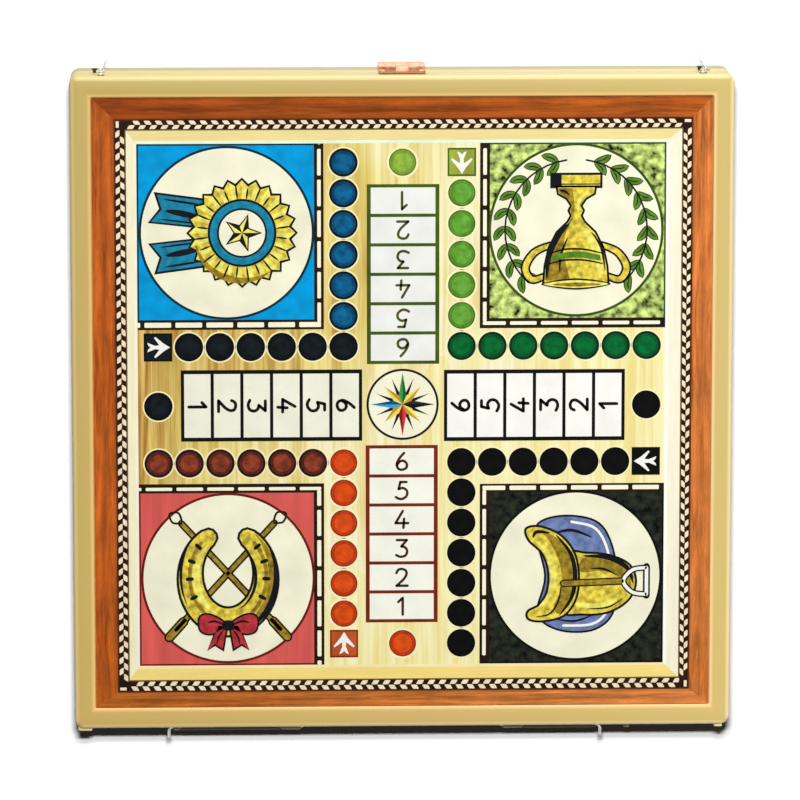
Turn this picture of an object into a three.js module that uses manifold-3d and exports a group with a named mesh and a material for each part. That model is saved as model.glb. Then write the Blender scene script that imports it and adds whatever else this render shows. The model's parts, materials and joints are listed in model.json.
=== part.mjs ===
// Games compendium case: two moulded plastic trays hinged on wire pins, each with a printed board
// let into its outer face, and the game pieces in partitions inside.
// Millimetres, +Z up. The case lies closed on its base tray: X runs along the clasp side,
// the hinges are towards -Y and the clasp and the two wire hooks are towards +Y.

import * as THREE from 'three';
import { mergeVertices } from 'three/addons/utils/BufferGeometryUtils.js';
import Module from 'manifold-3d';

const wasm = await Module();
wasm.setup();

// Case
const case_side = 340;
const lid_depth = 14;
const base_depth = 28;
const plan_corner_radius = 5;
const inner_corner_radius = 1.8;
const edge_radius = 2.2;
const wall = 3.2;
const skin = 2.4;
const parting_gap = 0.3;
const seat_gap = 0.3;
const overrun = 1;

// Boards and the rims round them
const border_width = 11.2;
const board_thickness = 1.4;
const board_setback = 0.5;
const board_corner_radius = 1;
const rim_bevel = 0.9;

// Tongue on the base rim and groove in the lid rim
const tongue_width = 1.2;
const tongue_height = 1.3;

// Hinges
const hinge_offset = 2.2;
const knuckle_radius = 1.9;
const knuckle_bore = 1.15;
const knuckle_web = 7;
const pin_radius = 0.8;
const pin_bend = 2.2;
const pin_reach = 8;
const pin_end = 1.6;
const hinge_inset = 52.7;
const hinge_span = 64.5;
const inner_knuckle_length = 10.2;
const left_base_knuckle_length = 52.2;
const right_base_knuckle_length = 37.6;
const outer_knuckle_length = 3;
const left_tail_gap = 2.5;
const right_tail_gap = 2.6;

// Corner pads on the hinge side of both trays
const left_pad = { inset: 1.6, length: 7.4 };
const right_pad = { inset: 3.4, length: 4.4 };
const pad_reach = 2;
const pad_height = 7;
const pad_rise = 3.5;
const base_pad_step = 6;

// Wire hooks. Each hangs at its own angle from straight down, and its catch lies a swing further on.
// Its finger end leans sideways.
const hook_wire_radius = 0.5;
const hook_inset = 16.1;
const hook_pivot_drop = 6;
const hook_length = 12;
const latch_swing = 16;
const left_hook = { hang: 0, lean: 2.8 };
const right_hook = { hang: -12, lean: -3.3 };
const hook_standoff = 0.3;
const hook_reach = 6.2;
const hook_clearance = 0.3;
const claw_tail_drop = 0.6;
const finger_end = 0.8;

// Screws of the hooks
const pivot_shank_radius = 0.8;
const catch_shank_radius = 0.8;
const pivot_head_radius = 1.6;
const catch_head_radius = 1.6;
const screw_head_height = 0.7;
const screw_depth = 2.4;
const screw_hole_gap = 0.2;

// Clasp
const clasp_width = 24;
const clasp_sheet = 1;
const clasp_axis_drop = 3.8;
const clasp_axis_offset = 2.9;
const clasp_barrel_radius = 1.7;
const clasp_pin_radius = 0.7;
const clasp_bore = 1.05;
const clasp_barrel_half = 9.2;
const clasp_plate_height = 12;
const hasp_shoulder = 4;
const hasp_end = 3;
const hasp_lip = 1.4;
const window_width = 8;
const window_near = 8;
const window_height = 4;
const keeper_height = 6;
const keeper_margin = 2.4;
const nub_width = 6.8;
const nub_reach = 4.2;
const rivet_radius = 0.8;
const rivet_head_radius = 1.4;
const rivet_head_height = 0.6;
const rivet_inset = 2.2;

// Partitions
const divider_thickness = 2;
const divider_headroom = 1;
const centre_bay = 138;

// Horse pawns
const pawn_height = 21;
const pawn_base_radius = 6.5;
const pawn_foot = 2.2;
const pawn_collar_radius = 4.8;
const pawn_collar = 1.4;
const pawn_body_width = 12.4;
const pawn_thickness = 4.6;
const pawn_pitch = 18;
const pawn_margin = 4;

// Draughtsmen, dice and dice cup
const draught_radius = 11;
const draught_thickness = 5;
const draughts_in_roll = 10;
const draught_groove = 0.5;
const roll_margin = 3;
const die_size = 12;
const die_round_share = 0.7;
const cup_height = 22;
const cup_mouth_radius = 20;
const cup_foot_radius = 17;
const cup_wall = 1.6;
const cup_place = 40;
const dice_step = 20;

// Facet counts
const corner_steps = 4;
const edge_steps = 3;
const round_sides = 16;
const wire_curve_segments = 4;
const stud_sides = 12;
const pin_steps = 26;
const hook_steps = 38;
const roll_sides = 16;
const die_sides = 12;
const cup_sides = 24;

// Derived places
const half_side = case_side / 2;
const case_height = lid_depth + base_depth;
const inner_half = half_side - wall;
const board_half = half_side - border_width;
const recess_half = board_half + seat_gap;
const recess_depth = board_setback + board_thickness + seat_gap;
const floor_depth = recess_depth + skin;
const base_rim = base_depth - parting_gap / 2;
const lid_rim = lid_depth - parting_gap / 2;
const floor_top = floor_depth + seat_gap;
const hinge_y = -(half_side + hinge_offset);
const hinge_z = base_depth;
const case_shift = (pin_reach - hook_reach) / 2;
const outer_knuckle_centre = half_side - hinge_inset;
const inner_knuckle_start = outer_knuckle_centre - hinge_span;
const hook_pivot_place = half_side - hook_inset;
const clasp_axis_height = base_depth - clasp_axis_drop;
const window_far = window_near + window_height;
const hasp_length = window_far + hasp_end;

// Materials
function plastic(colour, roughness) {
  return new THREE.MeshStandardMaterial({ color: colour, roughness, metalness: 0 });
}

function metal(colour, roughness) {
  return new THREE.MeshStandardMaterial({ color: colour, roughness, metalness: 1 });
}

const tray_plastic = plastic(0xcdb26e, 0.4);
const board_card = plastic(0xe6d394, 0.55);
const divider_plastic = plastic(0xb99a58, 0.5);
const steel_wire = metal(0xc9c7c0, 0.3);
const screw_steel = metal(0x3a3732, 0.4);
const copper_sheet = metal(0xd08a68, 0.35);
const light_wood = plastic(0xe2c48d, 0.5);
const dark_wood = plastic(0x2a1d17, 0.5);
const cup_plastic = plastic(0x2b2624, 0.5);
const die_plastic = plastic(0xf3eedd, 0.35);
const pawn_colours = { blue: 0x1667b0, green: 0x3f8f3a, red: 0xc22f2c, black: 0x1a1a1c };

// Solids: conversion between three.js geometry and manifold bodies
function to_solid(geometry) {
  const bare = geometry.index ? geometry.toNonIndexed() : geometry.clone();
  for (const name of Object.keys(bare.attributes)) {
    if (name !== 'position') bare.deleteAttribute(name);
  }
  const merged = mergeVertices(bare, seat_gap / 1000);
  const vertProperties = new Float32Array(merged.attributes.position.array);
  const corners = merged.index.array;
  const kept = [];
  for (let i = 0; i < corners.length; i += 3) {
    const [a, b, c] = [corners[i], corners[i + 1], corners[i + 2]];
    if (a !== b && b !== c && c !== a) kept.push(a, b, c);
  }
  return new wasm.Manifold(new wasm.Mesh({ numProp: 3, vertProperties, triVerts: new Uint32Array(kept) }));
}

function to_geometry(solid) {
  const mesh = solid.getMesh();
  const geometry = new THREE.BufferGeometry();
  geometry.setAttribute('position', new THREE.BufferAttribute(new Float32Array(mesh.vertProperties), 3));
  geometry.setIndex(new THREE.BufferAttribute(new Uint32Array(mesh.triVerts), 1));
  geometry.computeVertexNormals();
  return geometry;
}

function join(solids) {
  return solids.reduce((whole, piece) => whole.add(piece));
}

// Basic shapes in case coordinates
function box_solid(low, high) {
  const size = high.map((value, i) => value - low[i]);
  const geometry = new THREE.BoxGeometry(...size);
  geometry.translate(...low.map((value, i) => value + size[i] / 2));
  return to_solid(geometry);
}

function rod_along_x(radius, x_low, x_high, y, z, sides = round_sides) {
  const geometry = new THREE.CylinderGeometry(radius, radius, x_high - x_low, sides);
  geometry.rotateZ(Math.PI / 2);
  geometry.translate((x_low + x_high) / 2, y, z);
  return to_solid(geometry);
}

function rod_along_y(radius, y_low, y_high, x, z, sides = round_sides) {
  const geometry = new THREE.CylinderGeometry(radius, radius, y_high - y_low, sides);
  geometry.translate(x, (y_low + y_high) / 2, z);
  return to_solid(geometry);
}

// An outline of [y, z] points carried along X
function plate_along_x(outline, x_low, x_high) {
  const shape = new THREE.Shape(outline.map(([y, z]) => new THREE.Vector2(y, z)));
  const geometry = new THREE.ExtrudeGeometry(shape, { depth: x_high - x_low, bevelEnabled: false });
  geometry.rotateY(Math.PI / 2);
  geometry.rotateX(Math.PI / 2);
  geometry.translate(x_low, 0, 0);
  return to_solid(geometry);
}

function turned(points, sides) {
  const profile = points.map(([radius, height]) => new THREE.Vector2(radius, height));
  return new THREE.LatheGeometry(profile, sides);
}

function wire(points, radius, steps) {
  const path = new THREE.CatmullRomCurve3(points, false, 'centripetal');
  const section = new THREE.Shape();
  section.absarc(0, 0, radius, 0, 2 * Math.PI);
  const settings = { steps, bevelEnabled: false, extrudePath: path, curveSegments: wire_curve_segments };
  return to_solid(new THREE.ExtrudeGeometry(section, settings));
}

// A solid whose level sections are rounded squares: each ring is [half width, height, corner radius]
function rounded_square_ring([half, height, radius]) {
  const ring = [];
  const centre = half - radius;
  for (let corner = 0; corner < 4; corner += 1) {
    const turn = (corner * Math.PI) / 2;
    const sign_x = corner === 0 || corner === 3 ? 1 : -1;
    const sign_y = corner < 2 ? 1 : -1;
    for (let step = 0; step <= corner_steps; step += 1) {
      const angle = turn + (step / corner_steps) * (Math.PI / 2);
      const x = sign_x * centre + radius * Math.cos(angle);
      const y = sign_y * centre + radius * Math.sin(angle);
      ring.push([x, y, height]);
    }
  }
  return ring;
}

function rounded_square_solid(profile) {
  const rings = profile.map(rounded_square_ring);
  const count = rings[0].length;
  const positions = [...rings.flat(), [0, 0, profile[0][1]], [0, 0, profile[profile.length - 1][1]]];
  const first_centre = positions.length - 2;
  const last_centre = positions.length - 1;
  const last_ring = (rings.length - 1) * count;
  const index = [];
  for (let i = 0; i < count; i += 1) {
    const next = (i + 1) % count;
    for (let level = 0; level < rings.length - 1; level += 1) {
      const low = level * count;
      const high = low + count;
      index.push(low + i, low + next, high + next, low + i, high + next, high + i);
    }
    index.push(first_centre, next, i);
    index.push(last_centre, last_ring + i, last_ring + next);
  }
  const geometry = new THREE.BufferGeometry();
  geometry.setAttribute('position', new THREE.BufferAttribute(new Float32Array(positions.flat()), 3));
  geometry.setIndex(index);
  return geometry;
}

// A tray, outer face at height 0 and rim upwards, with its board recess and its rim detail
function tray_geometry(rim, rim_detail) {
  const edge = [];
  for (let step = 0; step <= edge_steps; step += 1) {
    const angle = (step / edge_steps) * (Math.PI / 2);
    const inset = edge_radius * (1 - Math.sin(angle));
    const height = edge_radius * (1 - Math.cos(angle));
    edge.push([half_side - inset, height, plan_corner_radius - inset]);
  }
  return rounded_square_solid([
    [recess_half, recess_depth, board_corner_radius],
    [recess_half, rim_bevel, board_corner_radius],
    [recess_half + rim_bevel, 0, board_corner_radius],
    ...edge,
    [half_side, rim, plan_corner_radius],
    ...rim_detail,
    [inner_half, floor_depth, inner_corner_radius],
  ]);
}

function base_tray() {
  const tongue_half = inner_half + tongue_width;
  const tongue_top = base_rim + tongue_height;
  const tongue_corner = inner_corner_radius + tongue_width;
  return to_solid(tray_geometry(base_rim, [
    [tongue_half, base_rim, tongue_corner],
    [tongue_half, tongue_top, tongue_corner],
    [inner_half, tongue_top, inner_corner_radius],
  ]));
}

function lid_tray() {
  const groove_half = inner_half + tongue_width + seat_gap;
  const groove_floor = lid_rim - tongue_height - parting_gap - seat_gap;
  const groove_corner = inner_corner_radius + tongue_width + seat_gap;
  const geometry = tray_geometry(lid_rim, [
    [groove_half, lid_rim, groove_corner],
    [groove_half, groove_floor, groove_corner],
    [inner_half, groove_floor, inner_corner_radius],
  ]);
  geometry.rotateY(Math.PI);
  geometry.translate(0, 0, case_height);
  return to_solid(geometry);
}

// Hinge knuckles: side is 1 on the lid, above the parting plane, and -1 on the base, below it
function knuckle(side, x_low, x_high) {
  const wall_y = hinge_y + hinge_offset + overrun;
  const web = [
    [hinge_y, hinge_z + side * parting_gap / 2],
    [wall_y, hinge_z + side * parting_gap / 2],
    [wall_y, hinge_z + side * knuckle_web],
    [hinge_y, hinge_z + side * knuckle_radius],
  ];
  const barrel = rod_along_x(knuckle_radius, x_low, x_high, hinge_y, hinge_z);
  const bore = rod_along_x(knuckle_bore, x_low - overrun, x_high + overrun, hinge_y, hinge_z);
  return barrel.add(plate_along_x(web, x_low, x_high)).subtract(bore);
}

// The knuckles of a hinge and its pin tail, which stands outside the outer knuckle only on the left
function hinge_spans(hand) {
  const inner = inner_knuckle_start;
  const middle = inner + inner_knuckle_length + seat_gap;
  const middle_length = hand < 0 ? left_base_knuckle_length : right_base_knuckle_length;
  const outer = outer_knuckle_centre - outer_knuckle_length / 2;
  const left_tail = outer + outer_knuckle_length + left_tail_gap;
  const right_tail = middle + middle_length + right_tail_gap;
  const span = (start, length) => (hand < 0 ? [-start - length, -start] : [start, start + length]);
  return {
    inner: span(inner, inner_knuckle_length),
    middle: span(middle, middle_length),
    outer: span(outer, outer_knuckle_length),
    start: inner,
    tail: hand < 0 ? left_tail : right_tail,
  };
}

function pad(hand, side) {
  const { inset, length } = hand < 0 ? left_pad : right_pad;
  const step = side < 0 ? base_pad_step : 0;
  const outer_x = hand * (half_side - inset - step);
  const x_low = Math.min(outer_x, outer_x - hand * length);
  const near = hinge_z + side * pad_rise;
  const far = near + side * pad_height;
  const low = [x_low, -half_side - pad_reach, Math.min(near, far)];
  const high = [x_low + length, -half_side + wall / 2, Math.max(near, far)];
  return box_solid(low, high);
}

function screw_hole(shank_radius, x, z) {
  const depth = screw_depth + screw_hole_gap;
  return rod_along_y(shank_radius + screw_hole_gap, half_side - depth, half_side + overrun, x, z);
}

const hook_pivot_z = case_height - hook_pivot_drop;
const hook_hands = { left: -1, right: 1 };
const clasp_rivet_place = clasp_width / 2 - rivet_inset;
const plate_rivet_z = clasp_axis_height - clasp_plate_height + rivet_inset;
const nub_low_z = clasp_axis_height + window_near + 2 * seat_gap;
const nub_high_z = clasp_axis_height + window_far - 2 * seat_gap;
const keeper_low_z = nub_low_z - keeper_margin;
const keeper_rivet_z = keeper_low_z + keeper_height / 2;

// The catch lies at the end of its hook's swing
function catch_place(hand) {
  const { hang } = hand < 0 ? left_hook : right_hook;
  const angle = THREE.MathUtils.degToRad(hang + latch_swing);
  const x = hand * hook_pivot_place - hook_length * Math.sin(angle);
  return [x, hook_pivot_z - hook_length * Math.cos(angle)];
}

function lid_shell() {
  let solid = lid_tray();
  for (const hand of [-1, 1]) {
    const spans = hinge_spans(hand);
    solid = join([solid, knuckle(1, ...spans.inner), knuckle(1, ...spans.outer), pad(hand, 1)]);
    solid = solid.subtract(screw_hole(rivet_radius, hand * clasp_rivet_place, keeper_rivet_z));
    solid = solid.subtract(screw_hole(pivot_shank_radius, hand * hook_pivot_place, hook_pivot_z));
  }
  return solid;
}

function base_shell() {
  let solid = base_tray();
  for (const hand of [-1, 1]) {
    const spans = hinge_spans(hand);
    solid = join([solid, knuckle(-1, ...spans.middle), pad(hand, -1)]);
    solid = solid.subtract(screw_hole(rivet_radius, hand * clasp_rivet_place, plate_rivet_z));
    solid = solid.subtract(screw_hole(catch_shank_radius, ...catch_place(hand)));
  }
  return solid;
}

function game_board(low_z) {
  const geometry = rounded_square_solid([
    [board_half, low_z, board_corner_radius],
    [board_half, low_z + board_thickness, board_corner_radius],
  ]);
  return to_solid(geometry);
}

// A bent wire pin, its tail standing straight out from the hinge line
function hinge_pin(hand) {
  const spans = hinge_spans(hand);
  const start = hand * (spans.start - pin_end);
  const tail = hand * spans.tail;
  const tip_y = -half_side - pin_reach;
  const points = [
    new THREE.Vector3(start, hinge_y, hinge_z),
    new THREE.Vector3((start + tail) / 2, hinge_y, hinge_z),
    new THREE.Vector3(tail - hand * pin_bend, hinge_y, hinge_z),
    new THREE.Vector3(tail - hand * pin_radius / 2, hinge_y - pin_radius / 2, hinge_z),
    new THREE.Vector3(tail, hinge_y - pin_bend, hinge_z),
    new THREE.Vector3(tail, tip_y, hinge_z),
  ];
  return wire(points, pin_radius, pin_steps);
}

// A wire hook: an eye round its pivot, an arm, a claw that closes on the catch, and a finger end
function hook(hand) {
  const eye = pivot_shank_radius + hook_clearance + hook_wire_radius;
  const claw = catch_shank_radius + hook_clearance + hook_wire_radius;
  const face = half_side + hook_standoff + hook_wire_radius;
  const tip = half_side + hook_reach;
  const { hang, lean } = hand < 0 ? left_hook : right_hook;
  const across = Math.cos(THREE.MathUtils.degToRad(hang));
  const along = Math.sin(THREE.MathUtils.degToRad(hang));
  const place = (x, z, y = face, side = 0) => new THREE.Vector3(
    hand * hook_pivot_place + x * across + z * along + side,
    y,
    hook_pivot_z + z * across - x * along,
  );
  const points = [];
  const eye_degrees = [255, 225, 180, 135, 90, 45, 0];
  for (const degrees of eye_degrees) {
    const angle = THREE.MathUtils.degToRad(degrees);
    points.push(place(eye * Math.cos(angle), eye * Math.sin(angle)));
  }
  const arm_low = hook_length - claw - eye;
  points.push(place(eye / 2, -eye * 2));
  points.push(place(-claw / 2, -(eye * 2 + arm_low) / 2));
  points.push(place(-claw / 4, -arm_low));
  const claw_degrees = [45, 0, -45, -100];
  for (const degrees of claw_degrees) {
    const angle = THREE.MathUtils.degToRad(degrees);
    points.push(place(claw * Math.cos(angle), -hook_length + claw * Math.sin(angle)));
  }
  const tail_z = -hook_length - claw - claw_tail_drop;
  points.push(place(-claw / 5, tail_z, face + claw_tail_drop));
  points.push(place(-claw / 5, tail_z - claw_tail_drop, (face + tip) / 2, lean / 2));
  points.push(place(-claw / 5, tail_z - claw_tail_drop, tip - finger_end, lean));
  points.push(place(-claw / 5, tail_z - claw_tail_drop, tip, lean));
  return wire(points, hook_wire_radius, hook_steps);
}

// A screw or rivet standing out of the clasp-side wall, its axis along Y
function stud(shank_radius, head_radius, neck_end, head_height, x, z) {
  const geometry = turned([
    [0, half_side - screw_depth],
    [shank_radius, half_side - screw_depth],
    [shank_radius, half_side + neck_end],
    [head_radius, half_side + neck_end],
    [head_radius, half_side + neck_end + head_height / 2],
    [head_radius / 2, half_side + neck_end + head_height],
    [0, half_side + neck_end + head_height],
  ], stud_sides);
  geometry.translate(x, 0, z);
  return to_solid(geometry);
}

const hook_neck = hook_standoff + 2 * hook_wire_radius + hook_clearance;

function pivot_screw(hand) {
  const x = hand * hook_pivot_place;
  return stud(pivot_shank_radius, pivot_head_radius, hook_neck, screw_head_height, x, hook_pivot_z);
}

function catch_screw(hand) {
  return stud(catch_shank_radius, catch_head_radius, hook_neck, screw_head_height, ...catch_place(hand));
}

// Clasp: places across the wall are distances out from the clasp-side face
function out(distance) {
  return half_side + distance;
}

const sheet_low = seat_gap;
const sheet_high = seat_gap + clasp_sheet;
const hasp_back = clasp_axis_offset - clasp_sheet / 2;
const hasp_face = hasp_back + clasp_sheet;

function clasp_barrel(x_low, x_high) {
  return rod_along_x(clasp_barrel_radius, x_low, x_high, out(clasp_axis_offset), clasp_axis_height);
}

function clasp_bore_cut() {
  const end = clasp_width / 2 + overrun;
  return rod_along_x(clasp_bore, -end, end, out(clasp_axis_offset), clasp_axis_height);
}

function clasp_plate() {
  const half = clasp_width / 2;
  const low_z = clasp_axis_height - clasp_plate_height;
  const top_z = clasp_axis_height - clasp_barrel_radius - seat_gap;
  const ear = [
    [out(sheet_low), clasp_axis_height - clasp_barrel_radius - clasp_axis_offset],
    [out(clasp_axis_offset + clasp_barrel_radius / 2), clasp_axis_height - clasp_barrel_radius / 2],
    [out(clasp_axis_offset), clasp_axis_height],
    [out(sheet_low), clasp_axis_height],
  ];
  let solid = box_solid([-half, out(sheet_low), low_z], [half, out(sheet_high), top_z]);
  for (const hand of [-1, 1]) {
    const near = Math.min(hand * half, hand * (clasp_barrel_half + seat_gap));
    const far = Math.max(hand * half, hand * (clasp_barrel_half + seat_gap));
    solid = join([solid, clasp_barrel(near, far), plate_along_x(ear, near, far)]);
    const hole_radius = rivet_radius + screw_hole_gap;
    const hole_x = hand * clasp_rivet_place;
    solid = solid.subtract(rod_along_y(hole_radius, half_side, out(sheet_high + overrun), hole_x, plate_rivet_z));
  }
  return solid.subtract(clasp_bore_cut());
}

// The hasp hangs from its barrel at rest, and its window takes the keeper's nub when it is swung up
function clasp_hasp() {
  const half = clasp_width / 2;
  const barrel_half = clasp_barrel_half;
  const shoulder_z = clasp_axis_height - hasp_shoulder;
  const low_z = clasp_axis_height - hasp_length;
  const neck = box_solid([-barrel_half, out(hasp_back), shoulder_z - overrun],
    [barrel_half, out(hasp_face), clasp_axis_height]);
  const plate = box_solid([-half, out(hasp_back), low_z], [half, out(hasp_face), shoulder_z]);
  const lip = box_solid([-half, out(hasp_back - hasp_lip), low_z], [half, out(hasp_face), low_z + clasp_sheet]);
  const window = box_solid(
    [-window_width / 2, out(hasp_back - overrun), clasp_axis_height - window_far],
    [window_width / 2, out(hasp_face + overrun), clasp_axis_height - window_near],
  );
  return join([clasp_barrel(-barrel_half, barrel_half), neck, plate, lip])
    .subtract(window)
    .subtract(clasp_bore_cut());
}

function clasp_pin() {
  const end = clasp_width / 2;
  return rod_along_x(clasp_pin_radius, -end, end, out(clasp_axis_offset), clasp_axis_height);
}

function clasp_keeper() {
  const half = clasp_width / 2;
  const nub_half = nub_width / 2;
  const keeper_high_z = keeper_low_z + keeper_height;
  let solid = box_solid([-half, out(sheet_low), keeper_low_z], [half, out(sheet_high), keeper_high_z]);
  solid = solid.add(box_solid([-nub_half, out(sheet_low), nub_low_z], [nub_half, out(nub_reach), nub_high_z]));
  for (const hand of [-1, 1]) {
    const hole_radius = rivet_radius + screw_hole_gap;
    const hole_x = hand * clasp_rivet_place;
    solid = solid.subtract(rod_along_y(hole_radius, half_side, out(sheet_high + overrun), hole_x, keeper_rivet_z));
  }
  return solid;
}

function rivet(x, z) {
  const head_gap = screw_hole_gap / 2;
  return stud(rivet_radius, rivet_head_radius, sheet_high + head_gap, rivet_head_height, x, z);
}

// Partitions: two long dividers and the cross dividers between them and the walls
const divider_top = base_rim - divider_headroom;
const divider_x = centre_bay / 2 + divider_thickness / 2;
const side_bay_low = divider_x + divider_thickness / 2 + seat_gap;
const side_bay_high = inner_half - seat_gap;
const side_bay_quarter = inner_half / 2;

function long_divider(x) {
  const half = divider_thickness / 2;
  const end = inner_half - seat_gap;
  return box_solid([x - half, -end, floor_top], [x + half, end, divider_top]);
}

function cross_divider(x_low, x_high, y) {
  const half = divider_thickness / 2;
  return box_solid([x_low, y - half, floor_top], [x_high, y + half, divider_top]);
}

// Horse pawn: a turned foot and collar with a flat horse's head and neck
const pawn_outline_shares = [
  [-0.36, 0], [-0.42, 0.2], [-0.3, 0.42], [-0.26, 0.62], [-0.2, 0.8], [-0.1, 0.92], [-0.04, 1],
  [0.06, 0.94], [0.2, 0.86], [0.42, 0.62], [0.5, 0.5], [0.46, 0.4], [0.34, 0.4], [0.16, 0.52],
  [0.2, 0.36], [0.34, 0.16], [0.38, 0],
];

function horse_pawn() {
  const body_low = pawn_foot + pawn_collar;
  const body_height = pawn_height - body_low;
  const points = pawn_outline_shares.map(([across, up]) => new THREE.Vector2(
    across * pawn_body_width,
    body_low - pawn_collar / 2 + up * (body_height + pawn_collar / 2),
  ));
  const settings = { depth: pawn_thickness, bevelEnabled: false };
  const body = new THREE.ExtrudeGeometry(new THREE.Shape(points), settings);
  body.translate(0, 0, -pawn_thickness / 2);
  body.rotateX(Math.PI / 2);
  const foot = turned([
    [0, 0],
    [pawn_base_radius, 0],
    [pawn_base_radius, pawn_foot],
    [pawn_collar_radius, pawn_foot],
    [pawn_collar_radius, body_low],
    [0, body_low],
  ], round_sides);
  foot.rotateX(Math.PI / 2);
  return to_solid(body).add(to_solid(foot));
}

// A roll of draughtsmen lying on its side along Y, starting at the origin
function draught_roll() {
  const profile = [[0, 0]];
  for (let i = 0; i < draughts_in_roll; i += 1) {
    const low = i * draught_thickness;
    const high = low + draught_thickness;
    profile.push([draught_radius - draught_groove, low]);
    profile.push([draught_radius, low + draught_groove]);
    profile.push([draught_radius, high - draught_groove]);
  }
  const end = draughts_in_roll * draught_thickness;
  profile.push([draught_radius - draught_groove, end], [0, end]);
  return to_solid(turned(profile, roll_sides));
}

function die() {
  const cube = to_solid(new THREE.BoxGeometry(die_size, die_size, die_size));
  const ball = to_solid(new THREE.SphereGeometry(die_size * die_round_share, die_sides, die_sides / 2));
  return cube.intersect(ball);
}

function dice_cup() {
  const inner_foot = cup_foot_radius - cup_wall;
  const inner_mouth = cup_mouth_radius - cup_wall;
  const geometry = turned([
    [0, 0],
    [cup_foot_radius, 0],
    [cup_mouth_radius, cup_height],
    [inner_mouth, cup_height],
    [inner_foot, cup_wall],
    [0, cup_wall],
  ], cup_sides);
  geometry.rotateX(Math.PI / 2);
  return to_solid(geometry);
}

// Assembly
const model = new THREE.Group();
model.position.y = case_shift;

function add(name, solid, material, place = [0, 0, 0], turn = 0) {
  const mesh = new THREE.Mesh(to_geometry(solid), material);
  mesh.name = name;
  mesh.position.set(...place);
  mesh.rotation.z = turn;
  model.add(mesh);
  return mesh;
}

function add_case() {
  add('base_shell', base_shell(), tray_plastic);
  add('lid_shell', lid_shell(), tray_plastic);
  add('base_game_board', game_board(board_setback), board_card);
  add('lid_game_board', game_board(case_height - board_setback - board_thickness), board_card);
  add('hinge_pin_left', hinge_pin(-1), steel_wire);
  add('hinge_pin_right', hinge_pin(1), steel_wire);
}

function add_hooks() {
  for (const [side, hand] of Object.entries(hook_hands)) {
    add(`hook_${side}`, hook(hand), steel_wire);
    add(`hook_pivot_screw_${side}`, pivot_screw(hand), screw_steel);
    add(`hook_catch_screw_${side}`, catch_screw(hand), screw_steel);
  }
}

function add_clasp() {
  add('clasp_plate', clasp_plate(), copper_sheet);
  add('clasp_hasp', clasp_hasp(), copper_sheet);
  add('clasp_pin', clasp_pin(), steel_wire);
  add('clasp_keeper', clasp_keeper(), copper_sheet);
  for (const [side, hand] of [['left', -1], ['right', 1]]) {
    add(`clasp_plate_rivet_${side}`, rivet(hand * clasp_rivet_place, plate_rivet_z), copper_sheet);
    add(`keeper_rivet_${side}`, rivet(hand * clasp_rivet_place, keeper_rivet_z), copper_sheet);
  }
}

function add_dividers() {
  add('divider_left', long_divider(-divider_x), divider_plastic);
  add('divider_right', long_divider(divider_x), divider_plastic);
  const centre_end = centre_bay / 2 - seat_gap;
  add('divider_centre_cross', cross_divider(-centre_end, centre_end, 0), divider_plastic);
  add('divider_left_cross', cross_divider(-side_bay_high, -side_bay_low, 0), divider_plastic);
  for (const row of [-1, 0, 1]) {
    const name = `divider_right_cross_${row + 2}`;
    add(name, cross_divider(side_bay_low, side_bay_high, row * side_bay_quarter), divider_plastic);
  }
}

// Four pawns of one colour stand along the outer wall of each right-hand bay
function add_pawns() {
  const x = side_bay_high - pawn_margin - pawn_base_radius;
  Object.entries(pawn_colours).forEach(([colour, value], bay) => {
    const material = plastic(value, 0.35);
    const bay_centre = (bay + 0.5) * side_bay_quarter - inner_half;
    for (let i = 0; i < 4; i += 1) {
      const y = bay_centre + (i - 1.5) * pawn_pitch;
      add(`pawn_${colour}_${i + 1}`, horse_pawn(), material, [x, y, floor_top]);
    }
  });
}

function add_draughts() {
  const outer_x = -(side_bay_high - roll_margin - draught_radius);
  const inner_x = outer_x + 2 * draught_radius + roll_margin;
  const z = floor_top + draught_radius;
  const length = draughts_in_roll * draught_thickness;
  const light_y = -inner_half + roll_margin;
  const dark_y = inner_half - roll_margin - length;
  add('draught_roll_light_1', draught_roll(), light_wood, [outer_x, light_y, z]);
  add('draught_roll_light_2', draught_roll(), light_wood, [inner_x, light_y, z]);
  add('draught_roll_dark_1', draught_roll(), dark_wood, [outer_x, dark_y, z]);
  add('draught_roll_dark_2', draught_roll(), dark_wood, [inner_x, dark_y, z]);
}

function add_dice() {
  const bay_y = -inner_half + roll_margin;
  add('dice_cup', dice_cup(), cup_plastic, [-cup_place, bay_y + cup_mouth_radius, floor_top]);
  const z = floor_top + die_size / 2;
  add('die_1', die(), die_plastic, [0, bay_y + die_size, z]);
  add('die_2', die(), die_plastic, [dice_step, bay_y + die_size * 2, z], Math.PI / 6);
}

add_case();
add_hooks();
add_clasp();
add_dividers();
add_pawns();
add_draughts();
add_dice();

export default model;
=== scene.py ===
# Looks of the games compendium case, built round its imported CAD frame.
# Sizes are millimetres in case coordinates: the origin is the middle of the case on the surface
# that it lies on, X runs along the clasp side, and the hinges are towards -Y.
import json
import math

import bmesh
import bpy
from mathutils import Matrix, Vector


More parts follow.
